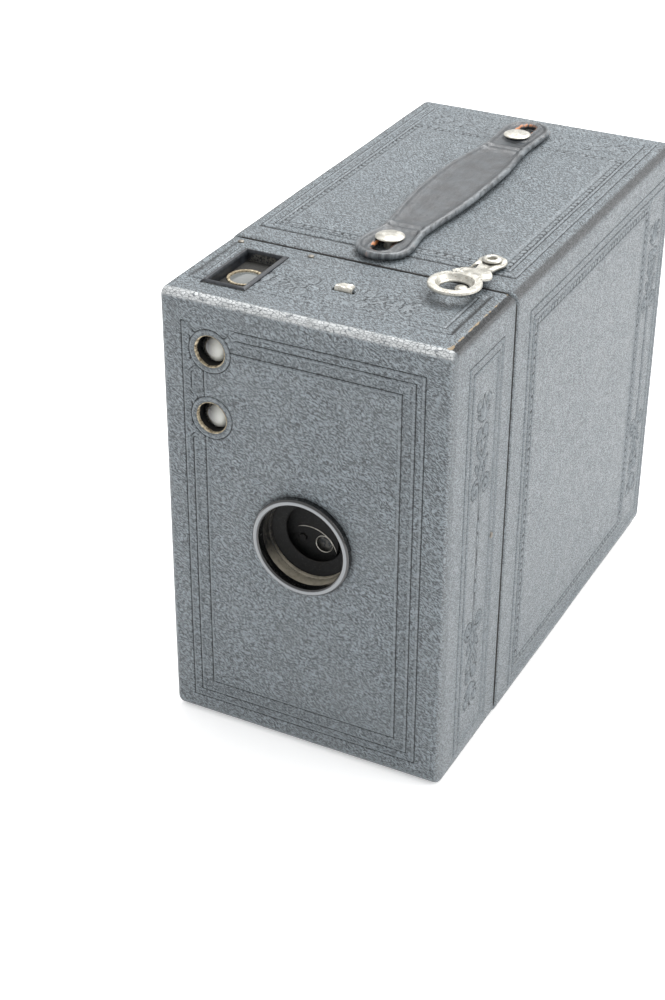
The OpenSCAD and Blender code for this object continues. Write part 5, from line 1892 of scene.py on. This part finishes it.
def make_ruby_window():
    """The red window in the back, under a turned ring."""
    back = facing_back(0, RUBY_Z, BACK_D)
    ring = soft_profile([(5.5, -3.4), (5.5, -0.9), (6.0, -0.35), (6.6, -0.02), (7.35, -0.1),
                         (7.4, -1.6), (6.3, -1.6), (6.3, -3.4)], 0.25, 3)
    fit(solid("ruby_window_rim", [turned(ring, back, 96)], BLACKENED, 50), "rear_case",
        "blackened_metal", "ruby_window_ring")
    pane = [(0.0, -1.7)] + [(5.6 * s, -1.7 - 0.25 * s * s) for s in (0.4, 0.7, 1.0)]
    pane += [(5.6, -3.5), (0.0, -3.5)]
    fit(solid("ruby_window_pane", [turned(pane, back, 64, closed=False)], RUBY), "rear_case",
        "ruby_glass", "ruby_window")


# ---- finishes of the CAD pieces that stay ----

KEPT_NODES = (
    (BOARD, ("rear_shell", "front_shell", "mechanism_board", "film_cone")),
    (DARK, ("light_lip", "top_finder_box", "side_finder_box", "lens_cell", "shutter_pins")),
    (BLACKENED, ("shutter_plate", "stop_guides", "carrier_plates", "film_gate")),
    (STEEL, ("plate_pillars", "shutter_spring", "lens_retainer", "roller_top",
             "roller_bottom")),
    (BRASS, ("supply_spool_clips", "takeup_bushes")),
    (LENS_GLASS, ("lens_glass",)),
    (MIRROR, ("top_finder_mirror", "side_finder_mirror")),
    (WOOD, ("takeup_spool",)),
)


def finish_kept_nodes():
    """Gives every CAD piece that stays its own material."""
    for material, names in KEPT_NODES:
        for name in names:
            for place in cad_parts[name].material_slots:
                place.material = material


# ---- stage, light and camera ----

def make_stage():
    """A pale floor under the camera."""
    look = Finish("pale_floor", Roughness=0.9, Emission_Color=(1, 1, 1, 1), Emission_Strength=0.3)
    place = look.node("TexCoord").outputs["Object"]
    shade = look.noise(place, 3.0, 2.0)
    look.finish(look.mix(look.remap(shade, 0.3, 0.7), (0.93, 0.935, 0.94, 1), (0.96, 0.96, 0.96, 1)))
    size = 3.0
    corners = [(-size, -size, 0), (size, -size, 0), (size, size, 0), (-size, size, 0)]
    mesh = bpy.data.meshes.new("floor")
    mesh.from_pydata(corners, [], [(0, 1, 2, 3)])
    mesh.materials.append(look.material)
    floor = bpy.data.objects.new("floor", mesh)
    bpy.context.scene.collection.objects.link(floor)


def area_light(name, place, target, size, energy):
    """A rectangular lamp that looks at a target."""
    data = bpy.data.lights.new(name, "AREA")
    data.shape = "RECTANGLE"
    data.size, data.size_y = size
    data.energy = energy
    obj = bpy.data.objects.new(name, data)
    obj.location = place
    obj.rotation_euler = (Vector(target) - Vector(place)).to_track_quat("-Z", "Y").to_euler()
    bpy.context.scene.collection.objects.link(obj)


LAMP_TARGET = (0, 0, 0.06)
LAMPS = (("window", (1.25, 0.25, 0.75), (1.0, 0.9), 9),
         ("overhead", (0.1, 0.75, 1.35), (1.4, 0.8), 26))


def make_light():
    """A bright white room, with a soft window to the right and a larger lamp above and behind."""
    scene = bpy.context.scene
    scene.view_settings.view_transform = "Standard"
    world = bpy.data.worlds.new("white_room")
    world.use_nodes = True
    background = world.node_tree.nodes["Background"]
    background.inputs[0].default_value = (1.0, 1.0, 1.0, 1.0)
    background.inputs[1].default_value = 1.0
    scene.world = world
    for name, place, size, energy in LAMPS:
        area_light(name, place, LAMP_TARGET, size, energy)


CAMERA_PLACE_M = (0.2008, -0.4529, 0.3338)
CAMERA_RIGHT = (0.8882, 0.4594, 0.0040)
CAMERA_FORWARD = (-0.3924, 0.7631, -0.5136)
CAMERA_LENS = 69.0


def make_camera():
    """The camera that took the photograph, as fitted to the case's corners."""
    data = bpy.data.cameras.new("photo_view")
    data.lens = CAMERA_LENS
    data.sensor_width = 36.0
    data.clip_start = 0.01
    back = -Vector(CAMERA_FORWARD).normalized()
    up = back.cross(Vector(CAMERA_RIGHT)).normalized()
    right = up.cross(back)
    obj = bpy.data.objects.new("photo_view", data)
    obj.location = CAMERA_PLACE_M
    obj.rotation_euler = Matrix((right, up, back)).transposed().to_euler()
    bpy.context.scene.collection.objects.link(obj)
    bpy.context.scene.camera = obj


make_camera()
make_light()
make_stage()
cover_front()
cover_rear()
make_strap()
make_studs()
make_latch()
make_rivet()
make_latch_stud()
make_nails()
make_stop_slide()
make_lens_parts()
make_shutter()
make_finders()
make_key()
make_key_bearings()
make_lever()
make_time_slide()
make_ruby_window()
finish_kept_nodes()
